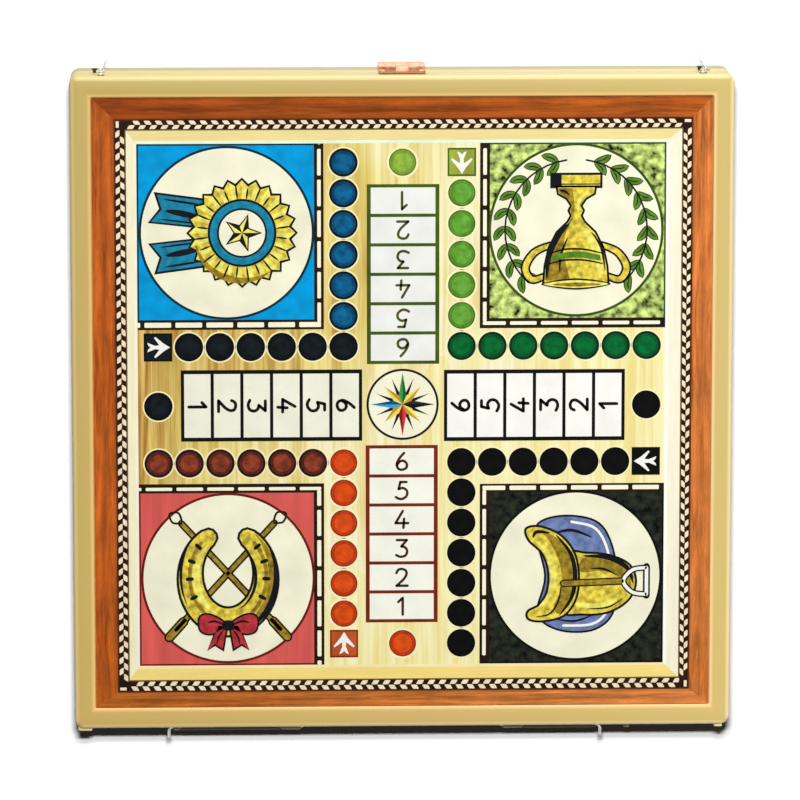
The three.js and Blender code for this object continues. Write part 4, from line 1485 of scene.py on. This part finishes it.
def ray(degrees, radius_x, radius_y, middle=0.0):
    """A place on an ellipse round (0, middle)."""
    angle = math.radians(degrees)
    return radius_x * math.cos(angle), middle + radius_y * math.sin(angle)


def arch(radius_x, radius_y, start, end, middle=1, steps=44):
    degrees = [start + (end - start) * i / steps for i in range(steps + 1)]
    return [ray(d, radius_x, radius_y, middle) for d in degrees]


def flipped(points):
    return [(-x, y) for x, y in points]


def both(strokes):
    """The given strokes and their mirror images."""
    return strokes + [(flipped(points), widths) for points, widths in strokes]


def wider(strokes, extra=2 * emblem_outline):
    """The same strokes with room for an outline."""
    grown = []
    for points, widths in strokes:
        if isinstance(widths, (list, tuple)):
            grown.append((points, [width + extra for width in widths]))
        else:
            grown.append((points, widths + extra))
    return grown


def grown_outline(points, amount):
    """An outline moved outwards along its own normals."""
    made = []
    count = len(points)
    area = sum(points[i - 1][0] * points[i][1] - points[i][0] * points[i - 1][1] for i in range(count))
    sign = 1 if area > 0 else -1
    for i in range(count):
        (ax, ay), (bx, by), (cx, cy) = points[i - 1], points[i], points[(i + 1) % count]
        first = Vector((by - ay, ax - bx)).normalized() * sign
        second = Vector((cy - by, bx - cx)).normalized() * sign
        way = first + second
        way = way / max(0.6, 1 + first.dot(second)) if way.length > 0.1 else first
        made.append((bx + way.x * amount, by + way.y * amount))
    return made


def leaf_spray(start, end, count, length=8.5, radius=wreath_radius):
    """A stem along the wreath's circle with leaves on both sides; degrees run from start to end."""
    leaves, veins = [], []
    turn = 1 if end > start else -1
    for i in range(count):
        angle = math.radians(start + (end - start) * (i + 0.5) / count)
        out = Vector((math.cos(angle), math.sin(angle)))
        ahead = Vector((-out.y, out.x)) * turn
        for lean in (-0.75, 0.75):
            way = (ahead + out * lean).normalized()
            side = Vector((-way.y, way.x))
            base = out * radius
            tip = base + way * length
            middle = base + way * length * 0.5 - side * lean * 0.9
            leaves.append(brush([tuple(base), tuple(middle), tuple(tip)], 3.4, 5, start=0.2, end=0.04))
            veins.append(brush([tuple(base + way * 0.8), tuple(middle), tuple(tip - way * 1.6)], 0.6, 5))
    return leaves, veins, [(arch(radius, radius, start, end, 0, 16), 0.9)]


def horseshoe_emblem(face):
    emblem = Emblem(face, "red", (176, 52, 58))
    steps = 44
    crops = both([([(-27, -27), (24, 29)], 2.0), ([(-30.5, -31), (-23, -22.6)], 3.6)])
    emblem.draw("crop_lines", black, 5, wider(crops, 1.8))
    emblem.draw("crops", brown, 6, crops)
    loops = both([(curve([(24, 29), (28.5, 29.5), (30, 34), (25.5, 34.5), (23.6, 30)]), 1.1)])
    emblem.draw("crop_loops", black, 6, loops)
    spine = arch(19.5, 24, -238, 58)
    widths = swelling(8.6, 5.4, steps)
    emblem.draw("shoe_line", black, 7, wider([(spine, widths)], 2.6))
    emblem.draw("shoe", ochre, 8, [(spine, widths)])
    emblem.draw("shoe_shade", brown, 9, [(arch(23, 28, -72, 50), swelling(0.6, 3.8, steps))])
    emblem.draw("shoe_light", gold, 9, [(arch(16.6, 20.8, -232, -110), swelling(0.5, 3.2, steps))])
    ink_strokes = [(arch(24.6, 30, -84, 30), swelling(0.4, 2.2, steps)),
                   (arch(14.4, 18.6, -66, 40), swelling(0.3, 1.3, steps)),
                   (arch(24.4, 30, -216, -150), swelling(0.2, 1.2, steps))]
    emblem.draw("shoe_strokes", black, 10, ink_strokes)
    emblem.draw("groove", brown, 10, [(arch(19.8, 24.4, -226, 46), 1.9)])
    nails = []
    for degrees in (-220, -199, -177, -153, -27, -3, 19, 40):
        (x, y), (reach_x, reach_y) = ray(degrees, 19.8, 24.4, 1), ray(degrees, 1.2, 1.2)
        nails.append(([(x - reach_x, y - reach_y), (x + reach_x, y + reach_y)], 1.9))
    emblem.draw("nails", black, 11, nails)
    bow = [curve([(-1.5, -24.5), (-9, -19.5), (-14.5, -20.5), (-14, -27.5), (-8, -29)], 6, True),
           curve([(1.5, -24.5), (9, -19.5), (14.5, -20.5), (14, -27.5), (8, -29)], 6, True),
           [(-1, -25), (-3, -37), (-7, -34.5), (-10.5, -37.5), (-5, -25)],
           [(1, -25), (5, -25), (10.5, -37.5), (7, -34.5), (3, -37)]]
    emblem.fill("bow_line", black, 11, [grown_outline(o, 1.0) for o in bow])
    emblem.fill("bow", emblem.accent, 12, bow)
    folds = both([brush([(-2, -24.5), (-7, -22.6), (-11, -23.4)], 1.2),
                  brush([(-2.4, -27), (-5, -31), (-6, -35)], 1.0)])
    emblem.draw("bow_folds", black, 13, folds)
    knot = curve([(-2.4, -22.6), (2.4, -22.6), (2.8, -27), (-2.8, -27)], 5, True)
    emblem.fill("bow_knot", black, 13, [knot])


def trophy_emblem(face):
    emblem = Emblem(face, "green", (86, 128, 40))
    for start, end in ((262, 132), (278, 408)):
        leaves, veins, stem = leaf_spray(start, end, 9)
        tag = "left" if end < start else "right"
        emblem.draw(f"leaf_{tag}_lines", black, 5, wider(leaves, 0.9))
        emblem.draw(f"leaf_{tag}", emblem.accent, 6, leaves)
        emblem.draw(f"leaf_{tag}_veins", black, 7, veins + stem)
    half = [(9.5, -22), (9, -19), (4.6, -16.4), (2.1, -12.6), (3.4, -10), (2.2, -7.4), (4, -4), (9.6, 1.5),
            (13.6, 9.4), (15.6, 18.6), (16.2, 27)]
    bowl = half + flipped(half)[::-1]
    handle = brush([(15.4, 23.6), (22.6, 25.6), (26, 19.4), (21.4, 11.6), (12.8, 7.6)], 3.0, 6, 0.6, 0.6)
    handles = both([handle])
    emblem.draw("handle_lines", black, 7, wider(handles, 2.0))
    emblem.draw("handles", ochre, 8, handles)
    emblem.fill("cup_line", black, 8, [grown_outline(bowl, 1.1), rectangle(-13.4, -29.6, 13.4, -21.6)])
    emblem.fill("cup", ochre, 9, [bowl])
    shadow = [(3, 26), (16, 26), (15.4, 18.6), (13.4, 9.4), (9.4, 1.7), (3.8, -3.8), (2, -7.4), (3.2, -10),
              (1.9, -12.6), (4.4, -16.2), (8.8, -19.2), (9.2, -21.6), (2, -21.6), (0.8, -12.6), (1.2, -7),
              (5.2, 1), (7, 10)]
    emblem.fill("cup_shade", brown, 10, [shadow])
    lights = [brush([(-12.4, 25), (-12, 16), (-8.4, 6), (-3, -1.6)], 4.4),
              brush([(-6.4, -20.2), (-1.6, -15), (-0.8, -9)], 1.5)]
    emblem.draw("cup_light", gold, 10, lights)
    strokes = [brush([(15, 25), (13.8, 13), (9, 2.6), (3.6, -3.4)], 3.0),
               brush([(-15, 21), (-12.8, 9), (-7.8, 1)], 1.2),
               brush([(8.4, 22), (7.8, 13), (4.4, 4)], 1.3),
               brush([(3.4, -18), (6, -20), (8.8, -20.6)], 1.4),
               brush([(-13.6, 17.4), (-4, 15.6), (6, 15.6), (13.6, 17.4)], 1.0, 6, 0.6, 0.6),
               brush([(-13, 12), (-4, 10), (6, 10), (12.6, 12)], 1.0, 6, 0.6, 0.6)]
    emblem.draw("cup_strokes", black, 11, strokes)
    cup_band = [(-12.3, 12.9), (-4, 11.2), (4, 11.2), (12.3, 12.9), (12.9, 16), (4, 14.4), (-4, 14.4),
                (-12.9, 16)]
    emblem.fill("cup_band", emblem.accent, 12, [cup_band])
    emblem.fill("rim_line", black, 10, [curve([(-18, 28), (0, 25), (18, 28), (0, 31)], 8, True)])
    emblem.fill("rim", gold, 11, [curve([(-16.6, 28), (0, 26), (16.6, 28), (0, 30)], 8, True)])
    emblem.fill("mouth", brown, 12, [curve([(-12.6, 28.2), (0, 27.2), (12.6, 28.2), (0, 29.3)], 8, True)])
    emblem.fill("plinth", ochre, 9, [rectangle(-12.2, -28.4, 12.2, -23)])
    plinth_shadows = [rectangle(7.6, -28.4, 12.2, -23), rectangle(-12.2, -24, 7.6, -23.4)]
    emblem.fill("plinth_shade", black, 10, plinth_shadows)


def rosette_emblem(face):
    emblem = Emblem(face, "blue", (28, 126, 158))
    middle = 8
    pleats = 24

    def wheel(radius, dip, turn=0.0):
        made = []
        for i in range(pleats * 2):
            angle = math.pi * (i + turn) / pleats
            size = radius - (dip if i % 2 else 0)
            made.append((size * math.cos(angle), middle + size * math.sin(angle)))
        return made

    tails = [[(-3, -8), (-6, -38.5), (-12.4, -33), (-20, -35.5), (-16, -6)],
             [(3, -8), (16, -6), (20, -35.5), (12.4, -33), (6, -38.5)]]
    emblem.fill("tail_lines", black, 5, [grown_outline(tail, 1.2) for tail in tails])
    emblem.fill("tails", emblem.accent, 6, tails)
    folds = both([brush([(-8, -13), (-10, -22), (-11.6, -31)], 3.2),
                  brush([(-14.4, -12), (-16, -22), (-17.6, -32)], 1.2),
                  brush([(-5, -14), (-6, -24), (-7.4, -34)], 1.0)])
    emblem.draw("tail_folds", black, 7, folds)
    emblem.fill("wheel_line", black, 8, [wheel(28.6, 3.0)])
    emblem.fill("wheel", gold, 9, [wheel(27.2, 3.2)])
    wedges, lines = [], []
    for i in range(pleats):
        start, end = 360 * i / pleats, 360 * (i + 0.5) / pleats
        corners = ((start, 15), (start, 26.8), (end, 23.8), (end, 15))
        wedges.append([ray(degrees, radius, radius, middle) for degrees, radius in corners])
        near, far = 17.4, 25.4 - 2 * (i % 2)
        crease = [ray(end, radius, radius, middle) for radius in (near, (near + far) / 2, far)]
        lines.append(brush(crease, 1.0, 3))
    emblem.fill("pleats", ochre, 10, wedges)
    emblem.draw("pleat_lines", black, 11, lines)
    shadow = arch(24.6, 24.6, -75, 35, middle, 24)
    emblem.draw("wheel_shade", brown, 11, [(shadow, swelling(0.4, 3, 24))])
    for name, material, radius, level in (("inner_line", black, 17.6, 12), ("inner", emblem.accent, 16.4, 13),
                                          ("button_line", black, 12.8, 14), ("button", cream, 11.8, 15)):
        emblem.fill(name, material, level, [circle(0, middle, radius, 64)])
    star = []
    for i in range(10):
        radius = 4.4 if i % 2 else 10.4
        star.append(ray(90 + 36 * i, radius, radius, middle))
    emblem.fill("star", black, 16, [star])
    facets = []
    for i in range(0, 10, 2):
        tip, side = star[i], star[(i + 1) % 10]
        facets.append([(0, middle), (tip[0] * 0.84, middle + (tip[1] - middle) * 0.84),
                       (side[0] * 0.8, middle + (side[1] - middle) * 0.8)])
    emblem.fill("star_light", gold, 17, facets)


def saddle_emblem(face):
    emblem = Emblem(face, "black", (104, 122, 168))
    cloth = curve([(-25, 15), (-29, 4), (-28, -10), (-20, -19), (-4, -21), (14, -19), (27, -12), (31, 2),
                   (29, 16), (22, 20), (0, 15), (-18, 19)], 6, True)
    emblem.fill("cloth_line", black, 5, [grown_outline(cloth, 1.1)])
    emblem.fill("cloth", emblem.accent, 6, [cloth])
    piping = curve([(-26.4, 6), (-25.6, -9), (-18.6, -16.6), (-4, -18.6), (13, -16.8), (24.8, -10.4),
                    (28.4, 2)])
    emblem.draw("cloth_edge", white, 7, [(piping, 1.3)])
    folds = [brush([(22, 12), (24, 2), (20, -9)], 1.6), brush([(-23, 10), (-24, 0), (-21, -9)], 1.2)]
    emblem.draw("cloth_folds", black, 7, folds)
    flap = curve([(-17, 8), (-20, -4), (-19, -17), (-13, -27), (-4, -31), (5, -28), (10, -18), (11.4, -6),
                  (10, 6)], 6, True)
    seat = curve([(-19, 24), (-15.4, 18), (-8, 14), (2, 13.4), (12, 16.6), (19, 23.6), (24.6, 25),
                  (25.4, 18), (21, 8), (12, 1), (0, -1.4), (-12, 0), (-20.6, 6), (-23.4, 16),
                  (-22.6, 23.4)], 6, True)
    emblem.fill("flap_line", black, 7, [grown_outline(flap, 1.2)])
    emblem.fill("flap", ochre, 8, [flap])
    flap_shadow = curve([(2, -3), (9, -4), (9.4, -16), (4.6, -26), (-4, -29), (-9, -27.4), (-2, -24),
                         (2.4, -15)], 6, True)
    emblem.fill("flap_shade", brown, 9, [flap_shadow])
    emblem.draw("flap_light", gold, 9, [brush([(-15, 0), (-16.4, -12), (-12, -22)], 3.4)])
    strokes = [brush([(10.4, -4), (9.4, -17), (4, -27), (-4, -30)], 2.6),
               brush([(-17.6, -6), (-16.8, -17), (-12, -25)], 0.9),
               brush([(3.6, -8), (3.4, -15), (0, -22)], 1.1)]
    emblem.draw("flap_strokes", black, 10, strokes)
    emblem.fill("seat_line", black, 10, [grown_outline(seat, 1.2)])
    emblem.fill("seat", ochre, 11, [seat])
    seat_shadow = curve([(-20, 8), (-12, 2), (0, 0.4), (12, 3), (20, 9.6), (23, 17), (16, 12), (4, 7.4),
                         (-8, 7.6), (-16, 11)], 6, True)
    emblem.fill("seat_shade", brown, 12, [seat_shadow])
    light = brush([(-17, 19), (-9, 12.6), (2, 11.4), (12, 14.4), (18.6, 20.6)], 3.0)
    emblem.draw("seat_light", gold, 12, [light])
    strokes = [brush([(-21, 8), (-11, 1.6), (1, 0), (12, 2.6), (21.6, 10)], 2.4),
               brush([(20, 22), (23.2, 20), (22.6, 13)], 1.8),
               brush([(-21.6, 20), (-20, 13), (-13, 8.6), (-3, 7)], 1.0)]
    emblem.draw("seat_strokes", black, 13, strokes)
    strap = [([(-4, 6), (-3.6, -8), (-3, -24)], 2.6)]
    iron = [(curve([(-10, -36.4), (-8.8, -29.6), (-3, -25), (2.8, -29.6), (4, -36.4)]), 1.7)]
    emblem.draw("strap_line", black, 14, wider(strap, 1.4))
    emblem.draw("strap", brown, 15, strap)
    emblem.draw("iron_line", black, 14, wider(iron, 1.5) + [([(-10.6, -37), (4.6, -37)], 3.6)])
    emblem.draw("iron", white, 15, iron + [([(-10, -37), (4, -37)], 1.8)])


def add_emblems(face):
    horseshoe_emblem(face)
    trophy_emblem(face)
    rosette_emblem(face)
    saddle_emblem(face)


def add_race_game():
    face = Face("lid_print", "lid", LID_FACE)
    add_border(face)
    add_field(face)
    add_fences(face)
    add_stables(face)
    add_emblems(face)
    track = Face("lid_print", "lid", LID_FACE @ Matrix.Translation((0, -track_drop, 0)))
    add_track(track)
    add_arrows(track)
    add_ladders(track)
    add_rose(track)


def add_draughts_board():
    face = Face("base_print", "base", BASE_FACE)
    add_border(face)
    cells = 10
    line = 0.6
    top, left, bottom, right = widened(margin_low, -line)
    width, height = (left + right) / cells, (top + bottom) / cells
    light_ground = wood("squares_light", (224, 198, 130), (246, 232, 176), "y", bands=80)
    dark_ground = wood("squares_dark", (66, 34, 18), (104, 58, 30), "y", bands=90)
    printed(face, "squares_edge", keyline, 1, [edges_rectangle(margin_low)])
    printed(face, "squares_light", light_ground, 2, [rectangle(-left, -bottom, right, top)])
    dark = []
    for row in range(cells):
        for column in range(cells):
            if (row + column) % 2 == 0:
                x, y = -left + column * width, -bottom + row * height
                dark.append(rectangle(x, y, x + width, y + height))
    printed(face, "squares_dark", dark_ground, 3, dark)


# Contents
def add_dividers():
    for node in frame["nodes"]:
        if not node.startswith("divider"):
            continue
        low, high = box_of(node)
        shape = soft_box(low, high, 0.5)
        piece = add_piece(f"{node}_strip", shape, "base", divider_plastic, WORLD)
        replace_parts(piece, node)


pawn_outline = [(-0.36, 0), (-0.42, 0.2), (-0.3, 0.42), (-0.26, 0.62), (-0.2, 0.8), (-0.1, 0.92), (-0.04, 1),
                (0.06, 0.94), (0.2, 0.86), (0.42, 0.62), (0.5, 0.5), (0.46, 0.4), (0.34, 0.4), (0.16, 0.52),
                (0.2, 0.36), (0.34, 0.16), (0.38, 0)]
pawn_width = 12.4
pawn_thickness = 4.6
pawn_foot_height = 3.6
pawn_round = 1.3


def pawn_shape(height):
    """A horse's head and neck with rounded edges on a turned foot, standing at the origin."""
    foot = Shape()
    turned(foot, [(0, 0), (6.1, 0), (6.5, 0.4), (6.5, 1.6), (6.1, 2.1), (5.1, 2.3), (4.6, 2.7), (4.8, 3.2),
                  (4.5, 3.6), (0, 3.6)], 40)
    low = pawn_foot_height - 0.7
    outline = smooth_path([(x * pawn_width, low + y * (height - low), 0) for x, y in pawn_outline], 4)
    levels = []
    for angle in quarter_angles(5):
        depth = -pawn_thickness / 2 + pawn_round * (1 - math.cos(angle))
        levels.append((pawn_round * (1 - math.sin(angle)), depth))
    levels += [(inset, -depth) for inset, depth in levels[::-1]]
    loops = []
    count = len(outline)
    for inset, depth in levels:
        loop = []
        for i, point in enumerate(outline):
            ahead, behind = outline[(i + 1) % count], outline[i - 1]
            way = (ahead - behind).normalized()
            moved = point + Vector((way.y, -way.x, 0)) * inset * 0.7
            loop.append((moved.x, depth, moved.y))
        loops.append(loop)
    body = Shape()
    loft(body, loops)
    return merged(foot, body)


def add_pawns():
    for colour, value in pawn_colours.items():
        material = moulded(f"pawn_{colour}_plastic", value, 0.3, mottle=0.04)
        for i in range(1, 5):
            node = f"pawn_{colour}_{i}"
            low, high = box_of(node)
            place = Matrix.Translation(((low.x + high.x) / 2, (low.y + high.y) / 2, low.z))
            shape = pawn_shape(high.z - low.z).moved(place)
            piece = add_piece(f"{node}_figure", shape, "base", material, WORLD)
            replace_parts(piece, node)


# Half of a draughtsman's profile: a share of its radius, how far in from there, and how far sunk
disc_profile = [(0, 0, 0.3), (0.3, 0, 0.3), (0.36, 0, 0), (0.7, 0, 0), (0.76, 0, 0.35), (0.84, 0, 0.35),
                (0.88, 0, 0), (1, 0.6, 0), (1, 0.1, 0.4), (1, 0, 1.0)]
discs_in_roll = 10
disc_gap = 0.06


def add_draughts():
    for tone, material in (("light", light_wood), ("dark", dark_wood)):
        for i in (1, 2):
            node = f"draught_roll_{tone}_{i}"
            low, high = box_of(node)
            middle = (low + high) / 2
            thickness = (high.y - low.y) / discs_in_roll
            radius = (high.x - low.x) / 2
            profile = [(radius * share - inset, disc_gap + sunk) for share, inset, sunk in disc_profile]
            profile += [(radius * share - inset, thickness - disc_gap - sunk)
                        for share, inset, sunk in disc_profile[::-1]]
            shape = Shape()
            for disc in range(discs_in_roll):
                place = Matrix.Translation((middle.x, low.y + disc * thickness, middle.z))
                turned(shape, profile, 40, place @ TOWARDS_CLASP)
            piece = add_piece(f"{node}_discs", shape, "base", material, WORLD)
            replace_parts(piece, node)


pip_spots = {
    1: [(0, 0)],
    2: [(-1, -1), (1, 1)],
    3: [(-1, -1), (0, 0), (1, 1)],
    4: [(-1, -1), (-1, 1), (1, -1), (1, 1)],
    5: [(-1, -1), (-1, 1), (1, -1), (1, 1), (0, 0)],
    6: [(-1, -1), (-1, 0), (-1, 1), (1, -1), (1, 0), (1, 1)],
}
die_size = 12
pip_radius = 1.2
die_turns = {1: (0, 0), 6: (180, 0), 2: (90, 0), 5: (-90, 0), 3: (0, 90), 4: (0, -90)}


def add_die(node, turn_degrees):
    low, high = box_of(node)
    middle = (low + high) / 2
    place = Matrix.Translation(middle) @ Matrix.Rotation(math.radians(turn_degrees), 4, "Z")
    half = die_size / 2
    cube = soft_box((-half, -half, -half), (half, half, half), 1.5, 5).moved(place)
    piece = add_piece(f"{node}_cube", cube, "base", die_ivory, WORLD)
    piece.data.materials.append(die_pip)
    ball = [(0, -pip_radius), *[ray(d, pip_radius, pip_radius) for d in range(-60, 90, 30)], (0, pip_radius)]
    pips = Shape()
    for number, (about_x, about_y) in die_turns.items():
        turn = Matrix.Rotation(math.radians(about_x), 4, "X") @ Matrix.Rotation(math.radians(about_y), 4, "Y")
        for x, y in pip_spots[number]:
            spot = Matrix.Translation((x * half * 0.48, y * half * 0.48, half + 0.5))
            turned(pips, ball, 14, place @ turn @ spot)
    cutter = mesh_object("cutter", pips, die_ivory, WORLD, 30)
    cutter.data.materials.append(die_pip)
    for polygon in cutter.data.polygons:
        polygon.material_index = 1
    cut(piece, cutter)
    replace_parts(piece, node)


# The cup's radius at the mouth and at the foot, its wall, and its grooves between shares of its height
cup_mouth = 20
cup_foot = 17
cup_wall = 1.6
cup_grooves = ((0.08, 0.2), (0.78, 0.88))
groove_depth = 0.35


def add_cup():
    low, high = box_of("dice_cup")
    height = high.z - low.z
    profile = [(0, 0.5), (cup_foot - 3, 0.5), (cup_foot - 2.4, 0), (cup_foot - 0.5, 0), (cup_foot, 0.5)]
    levels = 24
    for i in range(1, levels):
        share = i / levels
        radius = cup_foot + (cup_mouth - cup_foot) * share - 0.05
        if any(start < share < end for start, end in cup_grooves):
            radius -= groove_depth
        profile.append((radius, share * (height - 1)))
    profile += [(cup_mouth, height - 0.9), (cup_mouth, height - 0.3), (cup_mouth - 0.4, height),
                (cup_mouth - cup_wall + 0.3, height), (cup_mouth - cup_wall, height - 0.4),
                (cup_foot - cup_wall + 0.2, cup_wall + 1.2), (cup_foot - cup_wall - 1, cup_wall),
                (0, cup_wall)]
    shape = Shape()
    turned(shape, profile, 72, Matrix.Translation(((low.x + high.x) / 2, (low.y + high.y) / 2, low.z)))
    piece = add_piece("dice_cup_body", shape, "base", cup_leather, WORLD)
    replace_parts(piece, "dice_cup")


# Camera, lights and floor
camera_place = Vector((-99.85, 528.7, 3095.0)) * MM
camera_target = Vector((-1.33, 2.98, 41.5)) * MM
camera_lens = 271.1
camera_sensor = 36
camera_reach = 50
# The floor's size and place in metres, its grey to the eye and its grey to other rays
floor_half = 12
floor_drop = 0.0001
floor_white = 1.6
floor_dark = 0.08
world_strength = 0.012


def add_camera():
    data = bpy.data.cameras.new("camera")
    data.lens = camera_lens
    data.sensor_width = camera_sensor
    data.clip_end = camera_reach
    camera = bpy.data.objects.new("camera", data)
    bpy.context.scene.collection.objects.link(camera)
    back = (camera_place - camera_target).normalized()
    right = Vector((0, 1, 0)).cross(back).normalized()
    up = back.cross(right)
    turn = Matrix((right, up, back)).transposed().to_4x4()
    camera.matrix_world = Matrix.Translation(camera_place) @ turn
    bpy.context.scene.camera = camera


def add_lamp(name, place, target, sizes, watts, skip=None):
    """A lamp of the given width and length; skip names a stage object that it doesn't light."""
    data = bpy.data.lights.new(name, "AREA")
    data.shape = "RECTANGLE"
    data.size, data.size_y = sizes
    data.energy = watts
    lamp = bpy.data.objects.new(name, data)
    lamp.location = place
    lamp.rotation_euler = (Vector(target) - Vector(place)).to_track_quat("-Z", "Y").to_euler()
    bpy.context.scene.collection.objects.link(lamp)
    if skip:
        lit = bpy.data.collections.new(f"{name}_lit")
        lit.objects.link(skip)
        lit.collection_objects[0].light_linking.link_state = "EXCLUDE"
        lamp.light_linking.receiver_collection = lit


def first_glossy(tree, path):
    """1 for a mirrored ray that no rough surface has scattered before."""
    fresh = maths(tree, "LESS_THAN", path.outputs["Diffuse Depth"], 0.5)
    return maths(tree, "MULTIPLY", path.outputs["Is Glossy Ray"], fresh)


def add_world():
    world = bpy.data.worlds.new("studio")
    world.use_nodes = True
    bpy.context.scene.world = world
    tree = world.node_tree
    background = tree.nodes["Background"]
    background.inputs["Color"].default_value = (1, 1, 1, 1)
    background.inputs["Strength"].default_value = world_strength
    white = add_node(tree, "ShaderNodeBackground", Strength=1.0)
    path = tree.nodes.new("ShaderNodeLightPath")
    direct = maths(tree, "MAXIMUM", path.outputs["Is Camera Ray"], path.outputs["Is Transmission Ray"])
    seen = maths(tree, "MAXIMUM", direct, first_glossy(tree, path))
    mix = tree.nodes.new("ShaderNodeMixShader")
    for socket, value in zip(mix.inputs, (seen, background.outputs[0], white.outputs[0])):
        feed(tree, socket, value)
    tree.links.new(mix.outputs[0], tree.nodes["World Output"].inputs["Surface"])


def add_floor():
    mesh = bpy.data.meshes.new("floor")
    corners = rectangle(-floor_half, -floor_half, floor_half, floor_half)
    mesh.from_pydata([(x, y, 0) for x, y in corners], [], [(0, 1, 2, 3)])
    material = bpy.data.materials.new("floor_white")
    material.use_nodes = True
    tree = material.node_tree
    tree.nodes.remove(tree.nodes["Principled BSDF"])
    path = tree.nodes.new("ShaderNodeLightPath")
    seen = maths(tree, "MAXIMUM", path.outputs["Is Camera Ray"], first_glossy(tree, path))
    colour = mixed(tree, seen, (*[floor_dark] * 3, 1), (*[floor_white] * 3, 1))
    diffuse = add_node(tree, "ShaderNodeBsdfDiffuse", Color=colour)
    tree.links.new(diffuse.outputs[0], tree.nodes["Material Output"].inputs["Surface"])
    mesh.materials.append(material)
    floor = bpy.data.objects.new("floor", mesh)
    floor.location.z = -floor_drop
    bpy.context.scene.collection.objects.link(floor)
    return floor


def set_material(nodes, material):
    for node in nodes:
        mesh = frame["nodes"][node].data
        mesh.materials.clear()
        mesh.materials.append(material)


add_camera()
base_tray()
lid_tray()
add_knuckles()
add_pads()
hinge_pin("left", -51.2, -121.3)
hinge_pin("right", 51.2, 103.5)
for side, (pivot_x, hang, _) in hook_forms.items():
    add_hook(side)
    slotted_screw(f"hook_pivot_screw_{side}", "lid", pivot_x, hook_pivot_z, pivot_shank, screw_head_radius,
                  35, screw_bright)
    slotted_screw(f"hook_catch_screw_{side}", "base", *catch_place(pivot_x, hang), catch_shank,
                  screw_head_radius, -20, screw_metal)
add_clasp()
set_material(("lid_game_board", "base_game_board"), board_edge)
add_race_game()
add_draughts_board()
add_dividers()
add_pawns()
add_draughts()
add_die("die_1", 0)
add_die("die_2", 30)
add_cup()
add_world()
floor = add_floor()
add_lamp("key", (-0.08, 0.7, 2.6), (0, 0, 0), (0.26, 0.08), 33.5)
add_lamp("low_key", (-0.08, 0.86, 2.55), (0, 0, 0), (0.34, 0.1), 18.2)
add_lamp("right_fill", (0.8, 0.2, 0.9), (0, 0, 0), (0.4, 0.4), 5, skip=floor)
add_lamp("clasp_fill", (-0.1, 1.6, 0.26), (0, 0.1, 0), (0.5, 0.5), 15.4, skip=floor)

bpy.context.scene.view_settings.view_transform = "Standard"
